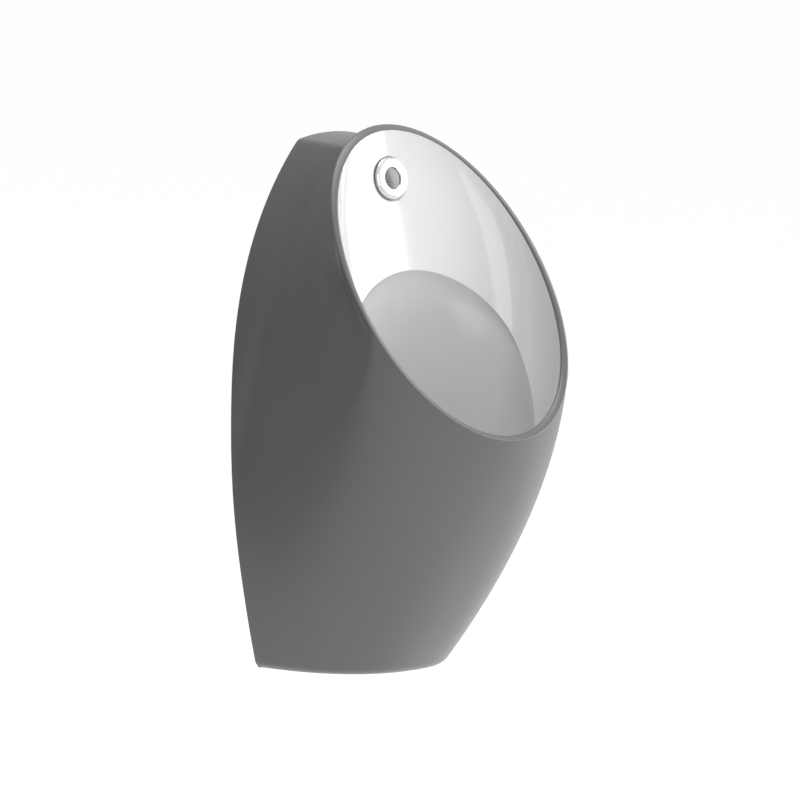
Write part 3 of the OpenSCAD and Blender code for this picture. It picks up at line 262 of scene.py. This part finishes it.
def backed_surface(t):
    """The bowl with its ledge filled, from the mouth (t 0) past the crease to the floor (t 1)."""
    d, w = np.clip(t / crease_at, 0, 1), np.clip((t - crease_at) / (1 - crease_at), 0, 1)
    upper = row_surface(dish_rows(d)) + step_in(1 - d)
    lower = row_surface(well_rows(w)) + step_in(w)
    return np.where((t < crease_at)[:, None, None], upper, lower)


def bowl_back(shares):
    """The bowl's hidden face: its filled form, moved one thickness along its normals.

    The last rows close in straight on the floor's own ring, one thickness under it.
    """
    points = backed_surface(np.linspace(0, 1, back_rows))
    normal = np.cross(np.gradient(points, axis=0), np.roll(points, -1, 1) - np.roll(points, 1, 1))
    normal /= np.linalg.norm(normal, axis=-1, keepdims=True)
    behind = eased(points + bowl_t * normal, back_passes, 0)
    behind[-1] = points[-1] - [0, 0, bowl_t]
    behind[-foot_rows:-1] = mix(behind[-foot_rows], behind[-1],
                                np.linspace(0, 1, foot_rows)[:-1, None, None])
    place = np.clip(shares, 0, 1) * (back_rows - 1)
    i = np.minimum(back_rows - 2, np.floor(place)).astype(int)
    column = np.arange(around)[None, :]
    return mix(behind[i, column], behind[i + 1, column], (place - i)[..., None])


def by_side(side, top, front):
    """A value for each angle from those at the side, the top and the front."""
    return mix(side, np.where(sines >= 0, top, front), sines ** 2)


def rows_between(a, b, count):
    """A column of evenly spaced values, one for each ring."""
    return np.linspace(a, b, count)[:, None]


# Rows crowd towards the crease from both sides, and its undercut grows as 1 - exp(-share / grow).
dish_shares = 1 - np.linspace(1, 0, 64) ** 1.5
well_shares_down = np.linspace(0, 1, 88)[1:] ** 1.7
undercut = (1 - np.exp(-well_shares_down / step_grow))[:, None, None]
inside = eased(np.vstack([
    row_surface(dish_rows(dish_shares)),
    row_surface(well_rows(well_shares_down)) + undercut * step_in(well_shares_down)]), 1, 1)
lip_turns = rows_between(0, math.pi, 17)[1:-1]
lip = lip_surface(lip_turns)


def bell(v, middle, reach):
    """One at the middle, falling off as exp(-(distance / reach) squared)."""
    return np.exp(-((v - middle) / reach) ** 2)


def smooth_step(v, low, high):
    """Zero under low, one over high, and 3t^2 - 2t^3 between them."""
    t = np.clip((v - low) / (high - low), 0, 1)
    return t * t * (3 - 2 * t)


base_trim, trim_z, trim_reach, trim_depth = 4.3, 60, 110, 90
neck_in, neck_after, neck_turn, neck_from, neck_to = 4.0, 12.0, 4.5, 8, 55
valley_in, valley_reach, valley_low, valley_high = 3.6, 18.0, 14.0, 58.0
valley_bottom, valley_full, valley_top, valley_end = 190, 330, 520, 600


def modelled(skin):
    """The outer skin's fine form, as moves of a few millimetres along x and along its normals.

    The outline is a little narrower at the base. A shallow valley, a bell across, runs down each
    side in front of the wall, nearer to it the lower it is. The skin necks in behind the upper
    rim and comes out again further back, by smooth steps of the way run from the rim.
    """
    x, y, z = np.moveaxis(skin, -1, 0)
    trim = -base_trim * bell(z, trim_z, trim_reach) * smooth_step(-y, trim_depth, 0)
    wide = np.minimum(np.abs(x) + trim, wall_w / 2)
    moved = np.stack([np.where(np.abs(x) > 20, np.sign(x) * wide, x), y, z], -1)
    normal = np.cross(np.gradient(skin, axis=0), np.roll(skin, -1, 1) - np.roll(skin, 1, 1))
    normal /= np.maximum(np.linalg.norm(normal, axis=-1, keepdims=True), 1e-9)
    run = np.vstack([np.zeros((1, around)),
                     np.cumsum(np.linalg.norm(np.diff(skin, axis=0), axis=-1), axis=0)])
    past = run - neck_after
    neck = (neck_in * smooth_step(sines, -0.3, 0.3) * smooth_step(sines, 0.99, 0.85)
            * smooth_step(past, -1, neck_turn) * smooth_step(past, neck_to, neck_from))
    middle = valley_low + (valley_high - valley_low) * smooth_step(z, valley_bottom, 500)
    valley = valley_in * bell(-y, middle, valley_reach) * smooth_step(z, valley_bottom, valley_full)
    valley = valley * smooth_step(z, valley_end, valley_top) * smooth_step(-y, 0, 10)
    return moved - normal * (neck + valley)[..., None]


outside = modelled(shell_surface(1 - rows_between(0, 1, 120) ** 1.35, 0))
cavity = shell_surface(rows_between(0, 1, 20) * by_side(0.62, 0.78, 0.6), shell_t)
hidden = bowl_back(mix(by_side(0.54, 0.1, 0.7), 1, rows_between(0, 1, 24)))
rings = np.vstack([inside[::-1], lip, outside, cavity, hidden])


def closed_rings(rings):
    """Faces between neighbouring rings, with each end ring closed by one flat face."""
    rows, cols = rings.shape[:2]
    i = np.arange(rows - 1)[:, None] * cols
    j = np.arange(cols)[None, :]
    k = (j + 1) % cols
    quads = np.stack([i + j, i + k, i + cols + k, i + cols + j], -1).reshape(-1, 4)
    return quads.tolist() + [list(range(cols - 1, -1, -1)),
                             list(range((rows - 1) * cols, rows * cols))]


def new_piece(name, points, faces):
    """A mesh object at the origin, from places in metres."""
    mesh = bpy.data.meshes.new(name)
    mesh.from_pydata(np.asarray(points).reshape(-1, 3).tolist(), [], faces)
    mesh.update()
    piece = bpy.data.objects.new(name, mesh)
    bpy.context.scene.collection.objects.link(piece)
    return piece


def new_material(name):
    """A node material, with its nodes and links."""
    material = bpy.data.materials.new(name)
    material.use_nodes = True
    return material, material.node_tree.nodes, material.node_tree.links


def glaze(name, colour, deeper, roughness, wander, coat, peel_size, peel_depth):
    """A fired glaze: a cloudy colour from two close tones, a wandering gloss and an orange peel."""
    material, nodes, links = new_material(name)
    shader = nodes["Principled BSDF"]
    place = nodes.new("ShaderNodeTexCoord")
    cloud = nodes.new("ShaderNodeTexNoise")
    cloud.inputs["Scale"].default_value = 9.0
    cloud.inputs["Detail"].default_value = 4.0
    tones = nodes.new("ShaderNodeMix")
    tones.data_type = "RGBA"
    tones.inputs["A"].default_value = (*deeper, 1)
    tones.inputs["B"].default_value = (*colour, 1)
    gloss = nodes.new("ShaderNodeMapRange")
    gloss.inputs["To Min"].default_value = roughness - wander
    gloss.inputs["To Max"].default_value = roughness + wander
    peel = nodes.new("ShaderNodeTexNoise")
    peel.inputs["Scale"].default_value = 1 / peel_size
    peel.inputs["Detail"].default_value = 2.0
    bump = nodes.new("ShaderNodeBump")
    bump.inputs["Strength"].default_value = 0.25
    bump.inputs["Distance"].default_value = peel_depth
    links.new(place.outputs["Object"], cloud.inputs["Vector"])
    links.new(place.outputs["Object"], peel.inputs["Vector"])
    links.new(cloud.outputs["Fac"], tones.inputs["Factor"])
    links.new(cloud.outputs["Fac"], gloss.inputs["Value"])
    links.new(tones.outputs["Result"], shader.inputs["Base Color"])
    links.new(gloss.outputs["Result"], shader.inputs["Roughness"])
    links.new(peel.outputs["Fac"], bump.inputs["Height"])
    links.new(bump.outputs["Normal"], shader.inputs["Normal"])
    shader.inputs["Coat Weight"].default_value = coat
    shader.inputs["Coat Roughness"].default_value = roughness / 2
    return material


grey_glaze = glaze(
    "grey_satin_glaze", (0.088, 0.088, 0.089), (0.08, 0.08, 0.081), 0.4, 0.03, 0.1, 0.004, 0.00006)
white_glaze = glaze(
    "white_gloss_glaze", (0.54, 0.54, 0.545), (0.525, 0.525, 0.53), 0.12, 0.02, 0.3, 0.012, 0.00004)
bare_china = glaze(
    "bare_china", (0.62, 0.58, 0.52), (0.55, 0.52, 0.46), 0.7, 0.05, 0.0, 0.003, 0.0002)

ceramic = new_piece("glazed_body", rings * MM, closed_rings(rings))
for material in (grey_glaze, white_glaze, bare_china):
    ceramic.data.materials.append(material)
band = np.arange(len(ceramic.data.polygons)) // around
grey_from = len(inside) - 1
grey_to = grey_from + len(lip) + len(outside)
slots = np.where(band < grey_from, 1, np.where(band < grey_to, 0, 2))
slots[-2], slots[-1] = 1, 2
ceramic.data.polygons.foreach_set("material_index", slots.astype(np.int32))
ceramic.data.polygons.foreach_set("use_smooth", np.ones(len(slots), bool))

# The base is ground flat at z 0, and its outer edge is rounded: the skin under base_round draws
# in by a quarter circle, square to the half ellipse that the base's outline follows. Cuts at
# seven levels first give that quarter circle its rows.
base_round, base_half, base_deep = 8.0, 110.0, 175.0
form = bmesh.new()
form.from_mesh(ceramic.data)
ground = bmesh.ops.bisect_plane(
    form, geom=form.verts[:] + form.edges[:] + form.faces[:], plane_co=(0, 0, 0),
    plane_no=(0, 0, 1), clear_inner=True)["geom_cut"]
sole = bmesh.ops.triangle_fill(
    form, use_beauty=True, edges=[e for e in ground if isinstance(e, bmesh.types.BMEdge)])["geom"]
for face in sole:
    if isinstance(face, bmesh.types.BMFace):
        face.material_index = 2
bmesh.ops.recalc_face_normals(form, faces=form.faces[:])
for level in base_round * (1 - np.cos(np.linspace(0, math.pi / 2, 8)[1:])):
    skin = [f for f in form.faces if f.material_index == 0 and f.calc_center_median().z < 0.03]
    loops = {part for f in skin for part in (*f.verts, *f.edges)}
    bmesh.ops.bisect_plane(
        form, geom=[*skin, *loops], plane_co=(0, 0, level * MM), plane_no=(0, 0, 1))
form.to_mesh(ceramic.data)
form.free()
base = ceramic.data
places = np.empty(len(base.vertices) * 3)
base.vertices.foreach_get("co", places)
places = places.reshape(-1, 3)
corner = np.empty(len(base.loops), int)
base.loops.foreach_get("vertex_index", corner)
finish = np.empty(len(base.polygons), int)
base.polygons.foreach_get("material_index", finish)
count = np.empty(len(base.polygons), int)
base.polygons.foreach_get("loop_total", count)
of_skin = np.zeros(len(places), bool)
of_skin[corner[np.repeat(finish == 0, count)]] = True
above = np.clip(places[:, 2] / MM, 0, base_round)
draw = np.where(of_skin, base_round - np.sqrt(base_round ** 2 - (base_round - above) ** 2), 0)
square = places[:, :2] / [base_half ** 2, base_deep ** 2]
square /= np.maximum(np.linalg.norm(square, axis=1, keepdims=True), 1e-12)
places[:, :2] -= square * draw[:, None] * MM
base.vertices.foreach_set("co", places.ravel())
base.update()


def disc(axis_point, axis, radius, low, high, sides=96):
    """A cylinder along an axis: two circles of places, and the faces between them."""
    turn = Vector(axis).normalized().to_track_quat("Z", "Y").to_matrix()
    t = np.linspace(0, 2 * math.pi, sides, endpoint=False)
    ring = np.stack([np.cos(t), np.sin(t)], -1) * radius
    local = np.vstack([np.column_stack([ring, np.full(sides, h)]) for h in (low, high)])
    j, k = np.arange(sides), (np.arange(sides) + 1) % sides
    faces = np.stack([j, k, sides + k, sides + j], -1).tolist()
    return (local @ np.array(turn).T + np.array(axis_point),
            faces + [list(range(sides - 1, -1, -1)), list(range(sides, 2 * sides))])


def block(low, high):
    """A box between two corners: its eight corners as the product of the two, and six faces."""
    places = np.array(np.meshgrid([0, 1], [0, 1], [0, 1], indexing="ij"))
    places = places.reshape(3, -1).T[:, ::-1]
    faces = [[0, 2, 3, 1], [4, 5, 7, 6], [0, 1, 5, 4], [2, 6, 7, 3], [0, 4, 6, 2], [1, 3, 7, 5]]
    return mix(np.array(low), np.array(high), places), faces


def solid(name, shape, material):
    """A closed piece from places in millimetres and faces, in one material."""
    piece = new_piece(name, np.asarray(shape[0]) * MM, shape[1])
    piece.data.materials.append(material)
    return piece


def joined(piece, other, operation):
    """Joins or cuts a piece by another, which is then thrown away."""
    modifier = piece.modifiers.new(operation.lower(), "BOOLEAN")
    modifier.operation = operation
    modifier.solver = "EXACT"
    modifier.object = other
    modifier.material_mode = "TRANSFER"
    with bpy.context.temp_override(object=piece, active_object=piece):
        bpy.ops.object.modifier_apply(modifier=modifier.name)
    bpy.data.objects.remove(other, do_unlink=True)


# The hanging web closes the column's upper back: an arch of the wall outline, cut square at its
# foot, with a window for each hook. A lug for a bolt stands inside the shell at each side.
web_t, web_inset, web_low, hook_gap, hook_z = 12.0, 5.0, 500.0, 100.0, 540.0
window_half, window_low, window_high = 20.0, 26.0, 17.0
arch_count = 96
foot = math.asin((web_low - widest_z) / (outline_up - web_inset))
arch = np.linspace(foot, math.pi - foot, arch_count)
arch_x = (wall_w / 2 - web_inset) * np.cos(arch)
arch_z = soft_min(widest_z + (outline_up - web_inset) * np.sin(arch),
                  column_top(arch_x, web_inset), column_round)
i = np.arange(arch_count)
k = (i + 1) % arch_count
web = solid("web", (
    np.vstack([np.column_stack([arch_x, np.full(arch_count, y), arch_z]) for y in (0, -web_t)]),
    np.stack([i, k, k + arch_count, i + arch_count], -1).tolist()
    + [i[::-1].tolist(), (i + arch_count).tolist()]), bare_china)
lug_low, lug_t, lug_in, lug_out, lug_back, lug_front = 60.0, 12.0, 80.0, 122.0, 16.0, 50.0
bolt_x, bolt_y, bolt_hole = 94.0, -33.0, 4.5
for side in (-1, 1):
    near, far = sorted((side * (hook_gap / 2 - window_half), side * (hook_gap / 2 + window_half)))
    window = block((near, -30, hook_z - window_low), (far, 30, hook_z + window_high))
    joined(web, solid("window", window, bare_china), "DIFFERENCE")
    near, far = sorted((side * lug_in, side * lug_out))
    lug = block((near, -lug_front, lug_low), (far, -lug_back, lug_low + lug_t))
    lug = solid("lug", lug, bare_china)
    joined(lug, solid("drill", disc((side * bolt_x, bolt_y, 0), (0, 0, 1), bolt_hole, 30, 100, 48),
                      bare_china), "DIFFERENCE")
    joined(ceramic, lug, "UNION")
joined(ceramic, web, "UNION")

# The spreader's seat is drilled square to the dish, and the waste's seat down through the floor:
# a hole for each tail, with a counterbore before and behind it, or over it.
spreader_down, front_seat_r, back_seat_r, tail_hole_r = 61.0, 26.5, 28.0, 16.8
waste_hole_r, waste_seat_r = 23.0, 32.5
spreader_z = overall_h - spreader_down
share = (dish_end_row[1] - spreader_z) / (dish_end_row[1] - crease_row[1])
spreader_place = np.array([0, mix(dish_end_row[0], crease_row[0], share), spreader_z])
spreader_tilt = math.atan2(dish_end_row[0] - crease_row[0], dish_end_row[1] - crease_row[1])
spreader_axis = (0, -math.cos(spreader_tilt), math.sin(spreader_tilt))
for place, axis, radius, low, high in (
        (spreader_place, spreader_axis, front_seat_r, -1, 30),
        (spreader_place, spreader_axis, back_seat_r, -57, -9),
        (spreader_place, spreader_axis, tail_hole_r, -30, 30),
        ((0, -drain_d, 0), (0, 0, 1), waste_hole_r, 120, 180),
        ((0, -drain_d, 0), (0, 0, 1), waste_seat_r, 147, 177)):
    joined(ceramic, solid("drill", disc(place, axis, radius, low, high), bare_china), "DIFFERENCE")
ceramic.data.set_sharp_from_angle(angle=math.radians(38))
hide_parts("ceramic_body")
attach(ceramic, "urinal")

# Wall fixings.
# Hooks and angles pressed from steel strip and zinc plated; a hexagon bolt, a nut and a rubber
# washer hold each lug. The wall screws are the installer's.


def worked_metal(name, colour, roughness, grain, stretch):
    """Worked metal: fine marks, longer along some axes than others, in its roughness and bump."""
    material, nodes, links = new_material(name)
    shader = nodes["Principled BSDF"]
    place = nodes.new("ShaderNodeTexCoord")
    along = nodes.new("ShaderNodeMapping")
    along.inputs["Scale"].default_value = stretch
    marks = nodes.new("ShaderNodeTexNoise")
    marks.inputs["Scale"].default_value = 1.0
    marks.inputs["Detail"].default_value = 3.0
    spread = nodes.new("ShaderNodeMapRange")
    spread.inputs["To Min"].default_value = roughness * (1 - grain)
    spread.inputs["To Max"].default_value = roughness * (1 + grain)
    tones = nodes.new("ShaderNodeMix")
    tones.data_type = "RGBA"
    tones.inputs["A"].default_value = (*(c * (1 - grain / 4) for c in colour), 1)
    tones.inputs["B"].default_value = (*colour, 1)
    bump = nodes.new("ShaderNodeBump")
    bump.inputs["Strength"].default_value = grain / 4
    bump.inputs["Distance"].default_value = 0.0001
    links.new(place.outputs["Object"], along.inputs["Vector"])
    links.new(along.outputs["Vector"], marks.inputs["Vector"])
    links.new(marks.outputs["Fac"], spread.inputs["Value"])
    links.new(marks.outputs["Fac"], tones.inputs["Factor"])
    links.new(tones.outputs["Result"], shader.inputs["Base Color"])
    links.new(spread.outputs["Result"], shader.inputs["Roughness"])
    links.new(marks.outputs["Fac"], bump.inputs["Height"])
    links.new(bump.outputs["Normal"], shader.inputs["Normal"])
    shader.inputs["Metallic"].default_value = 1.0
    return material


def moulded(name, colour, roughness, coat, speckle):
    """Moulded plastic or rubber: a fine grain in its colour and bump."""
    material, nodes, links = new_material(name)
    shader = nodes["Principled BSDF"]
    place = nodes.new("ShaderNodeTexCoord")
    grain = nodes.new("ShaderNodeTexNoise")
    grain.inputs["Scale"].default_value = 900.0
    tones = nodes.new("ShaderNodeMix")
    tones.data_type = "RGBA"
    tones.inputs["A"].default_value = (*(c * (1 - speckle) for c in colour), 1)
    tones.inputs["B"].default_value = (*colour, 1)
    bump = nodes.new("ShaderNodeBump")
    bump.inputs["Strength"].default_value = 0.15
    bump.inputs["Distance"].default_value = 0.0001
    links.new(place.outputs["Object"], grain.inputs["Vector"])
    links.new(grain.outputs["Fac"], tones.inputs["Factor"])
    links.new(tones.outputs["Result"], shader.inputs["Base Color"])
    links.new(grain.outputs["Fac"], bump.inputs["Height"])
    links.new(bump.outputs["Normal"], shader.inputs["Normal"])
    shader.inputs["Roughness"].default_value = roughness
    shader.inputs["Coat Weight"].default_value = coat
    return material


def dressed(material, *names):
    """Gives carried-over pieces of the frame their finish."""
    for name in names:
        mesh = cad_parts[name].data
        mesh.materials.clear()
        mesh.materials.append(material)


zinc_plate = worked_metal("zinc_plated_steel", (0.56, 0.57, 0.58), 0.34, 0.3, (40, 900, 60))
rubber = moulded("black_rubber", (0.02, 0.02, 0.02), 0.75, 0.0, 0.2)
dressed(zinc_plate, "hanger_hooks", "lower_brackets", "lower_bolts", "lower_nuts")
dressed(rubber, "lug_washers")

# Spreader.
# A chromed brass flange with a domed edge on a threaded tail, which squirts a fan of water down
# the dish from a slot under its lower edge. A dark window in the middle covers the sensor.
flange_r, flange_h, flange_edge, crest_r, flange_lip = 25.0, 6.0, 3.0, 20.0, 0.9
window_r, window_seat, window_t, window_crown, gap = 12.5, 2.6, 2.0, 0.6, 0.1
tail_r, tail_bore, tail_l, eye_r = 16.0, 13.0, 46.0, 9.4
slot_low, slot_high, slot_half = 0.4, 1.8, 10.0
spreader_up = np.array([0, math.sin(spreader_tilt), math.cos(spreader_tilt)])
spreader_turn = np.stack([np.array([1.0, 0, 0]), spreader_up, np.array(spreader_axis)])


def lathed(profile, closed, sides=160):
    """A surface of revolution: radius and height pairs carried round the spreader's axis.

    A profile that isn't closed starts and ends on the axis, where each end is one point.
    """
    profile = np.asarray(profile, float)
    body = profile if closed else profile[1:-1]
    t = np.linspace(0, 2 * math.pi, sides, endpoint=False)
    ring = np.stack([np.cos(t), np.sin(t)], -1)
    local = np.concatenate([body[:, None, :1] * ring, np.repeat(body[:, None, 1:], sides, 1)], -1)
    local = local.reshape(-1, 3)
    rows = len(body)
    i = np.arange(rows if closed else rows - 1)[:, None] * sides
    j, k = np.arange(sides)[None, :], (np.arange(sides)[None, :] + 1) % sides
    n = (i + sides) % (rows * sides)
    faces = np.stack([i + j, i + k, n + k, n + j], -1).reshape(-1, 4).tolist()
    if not closed:
        local = np.vstack([local, [[0, 0, profile[0, 1]], [0, 0, profile[-1, 1]]]])
        first, last, top = rows * sides, rows * sides + 1, (rows - 1) * sides
        faces += np.stack([k[0], j[0], 0 * j[0] + first], -1).tolist()
        faces += np.stack([top + j[0], top + k[0], 0 * j[0] + last], -1).tolist()
    return local @ spreader_turn + spreader_place, faces


def turned_piece(name, profile, closed, material):
    """A lathed piece, smooth but for its turned edges."""
    piece = solid(name, lathed(profile, closed), material)
    piece.data.polygons.foreach_set("use_smooth", np.ones(len(piece.data.polygons), bool))
    piece.data.set_sharp_from_angle(angle=math.radians(40))
    return piece


chrome = worked_metal("polished_chrome", (0.62, 0.63, 0.64), 0.06, 0.15, (60, 60, 60))
brass = worked_metal("turned_brass", (0.78, 0.58, 0.28), 0.28, 0.3, (40, 40, 1200))
black_plastic = moulded("black_plastic", (0.025, 0.025, 0.028), 0.45, 0.1, 0.15)
dark_lens = moulded("dark_lens", (0.075, 0.075, 0.08), 0.22, 0.3, 0.05)
dome = np.radians(np.linspace(0, 90, 19))
flange_profile = np.vstack([
    [[tail_bore, slot_high], [tail_bore, -tail_l], [tail_r, -tail_l], [tail_r, 0], [flange_r, 0]],
    np.column_stack([mix(crest_r, flange_r, np.cos(dome)),
                     mix(flange_edge, flange_h, np.sin(dome))]),
    [[window_r + flange_lip + 0.3, flange_h - 0.1],
     [window_r + flange_lip, flange_h - flange_lip / 2],
     [window_r + gap, window_seat + window_t], [window_r + gap, window_seat],
     [eye_r + gap, window_seat], [eye_r + gap, slot_high]]])
flange = turned_piece("chrome_flange", flange_profile, True, chrome)
places, faces = block(
    (-slot_half, -flange_r - 10, slot_low), (slot_half, -tail_bore / 2, slot_high))
places = places @ spreader_turn + spreader_place
joined(flange, solid("slot", (places, faces), chrome), "DIFFERENCE")
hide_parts("spreader_flange")
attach(flange, "urinal")

crown = np.linspace(0, 1, 17)
edge = window_seat + window_t - window_crown
window_profile = np.vstack([
    [[0, window_seat], [window_r, window_seat]],
    np.column_stack([window_r * (1 - crown), edge + window_crown * (1 - (1 - crown) ** 2)])])
window = turned_piece("sensor_lens", window_profile, False, dark_lens)
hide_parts("sensor_window")
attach(window, "urinal")
dressed(rubber, "flange_gasket", "back_gasket")
dressed(black_plastic, "sensor_capsule", "sensor_gland")
dressed(brass, "clamp_washer", "lock_nut")

# Inlet elbow and upper pipe.
# A turned brass socket soldered to its branch, and a drawn copper pipe with a chromed skin,
# held at each end by a brass nut.
dressed(brass, "inlet_elbow", "elbow_nut", "outlet_union_nut")
dressed(chrome, "upper_pipe")

# Flush valve.
# A forged brass body, machined where its moulded piston slides; a bonnet held by screws carries
# the coil, whose plunger lets the water move the piston. Both have return springs of steel wire.
white_plastic = moulded("white_plastic", (0.78, 0.78, 0.76), 0.3, 0.2, 0.03)
steel = worked_metal("stainless_steel", (0.6, 0.6, 0.61), 0.25, 0.25, (60, 60, 600))
dressed(brass, "valve_body", "valve_bonnet")
dressed(steel, "bonnet_screws", "plunger", "plunger_spring", "piston_spring", "coil_nut")
dressed(black_plastic, "coil")
dressed(white_plastic, "valve_piston")

# Stop valve.
# A brass ball valve with a chromed ball and a lever of painted steel; its nipple screws into the
# wall's supply. A chromed pipe leads up to the flush valve, with a moulded filter at its end.
lever_paint = moulded("red_enamel", (0.5, 0.03, 0.025), 0.3, 0.5, 0.08)
dressed(brass, "stop_valve_body", "packing_nut", "inlet_union_nut", "stop_union_nut")
dressed(chrome, "stop_ball", "lower_pipe")
dressed(steel, "stop_spindle", "handle_screw")
dressed(white_plastic, "inlet_filter")
dressed(lever_paint, "stop_handle")

# Service plate and control box.
# A folded zinc plated plate screws to the wall and carries the pipe's clip and a moulded box,
# with the board, the cells in their tray, a gasket and a screwed cover in it.
green_board = moulded("green_laminate", (0.02, 0.16, 0.06), 0.35, 0.4, 0.12)
cell_sleeve = moulded("cell_sleeve", (0.08, 0.28, 0.13), 0.3, 0.4, 0.05)
dressed(zinc_plate, "service_plate")
dressed(steel, "cover_screws")
dressed(black_plastic, "battery_tray", "cable_glands")
dressed(white_plastic, "pipe_clip", "control_box", "control_cover")
dressed(rubber, "cover_gasket")
dressed(green_board, "circuit_board")
dressed(cell_sleeve, "batteries")

# Waste.
# A chromed flange with a threaded tail, sealed in the bowl's floor by rubber rings and drawn
# down by a brass nut on a steel washer; the steel strainer drops into it and lifts out.
dressed(chrome, "waste_flange")
dressed(steel, "waste_strainer", "waste_washer")
dressed(rubber, "waste_gasket", "lower_seal")
dressed(brass, "waste_locknut")

# Trap.
# A bottle trap moulded in white plastic, with a cup that unscrews, and an outlet pipe that runs
# through a rubber seal into the wall.
dressed(white_plastic, "trap_nut", "trap_body", "trap_cup", "outlet_nut", "outlet_pipe")
dressed(rubber, "cup_seal", "wall_seal")

# The studio.
# A pale floor under the hanging urinal, a soft white sky that is darkest at the back left, a dark
# card on the left, and three broad lamps: to the right of the urinal, before it and over it.
floor_level, floor_side = -0.45, 14.0
studio_floor = new_piece("studio_floor", [
    (-floor_side, -floor_side, floor_level), (floor_side, -floor_side, floor_level),
    (floor_side, floor_side, floor_level), (-floor_side, floor_side, floor_level)],
    [[0, 1, 2, 3]])
pale_floor = moulded("pale_floor", (0.9, 0.9, 0.9), 0.9, 0.0, 0.0)
floor_shader = pale_floor.node_tree.nodes["Principled BSDF"]
floor_shader.inputs["Emission Color"].default_value = (1, 1, 1, 1)
floor_shader.inputs["Emission Strength"].default_value = 0.14
studio_floor.data.materials.append(pale_floor)
dark_card = new_piece("dark_card", [
    (-1.8, 0.6, -0.44), (-0.5, 1.6, -0.44), (-0.5, 1.6, 1.0), (-1.8, 0.6, 1.0)], [[0, 1, 2, 3]])
dark_card.data.materials.append(moulded("card_grey", (0.12, 0.12, 0.12), 0.9, 0.0, 0.0))
sky = bpy.data.worlds.new("studio_sky")
sky.use_nodes = True
nodes, links = sky.node_tree.nodes, sky.node_tree.links
bright_side = (0.65, -0.6, 0.45)
sky_dark, sky_bright = 0.25, 1.3
way = nodes.new("ShaderNodeTexCoord")
lean = nodes.new("ShaderNodeVectorMath")
lean.operation = "DOT_PRODUCT"
lean.inputs[1].default_value = Vector(bright_side).normalized()
spread = nodes.new("ShaderNodeMapRange")
spread.inputs["From Min"].default_value = -1.0
spread.inputs["To Min"].default_value = sky_dark
spread.inputs["To Max"].default_value = sky_bright
links.new(way.outputs["Generated"], lean.inputs[0])
links.new(lean.outputs["Value"], spread.inputs["Value"])
links.new(spread.outputs["Result"], nodes["Background"].inputs["Strength"])
nodes["Background"].inputs["Color"].default_value = (1, 1, 1, 1)
bpy.context.scene.world = sky


def soft_light(name, place, aim, size, power):
    """A square area light that looks at a point."""
    lamp = bpy.data.lights.new(name, "AREA")
    lamp.shape = "SQUARE"
    lamp.size = size
    lamp.energy = power
    light = bpy.data.objects.new(name, lamp)
    light.location = place
    light.rotation_euler = (Vector(aim) - Vector(place)).to_track_quat("-Z", "Y").to_euler()
    bpy.context.scene.collection.objects.link(light)


soft_light("key", (2.2, -1.3, 1.1), (0, -0.15, 0.35), 1.6, 40)
soft_light("front", (-1.0, -2.4, 1.3), (0, -0.15, 0.35), 1.6, 14)
soft_light("top", (0.2, 0.1, 2.6), (0, -0.15, 0.3), 1.4, 27)
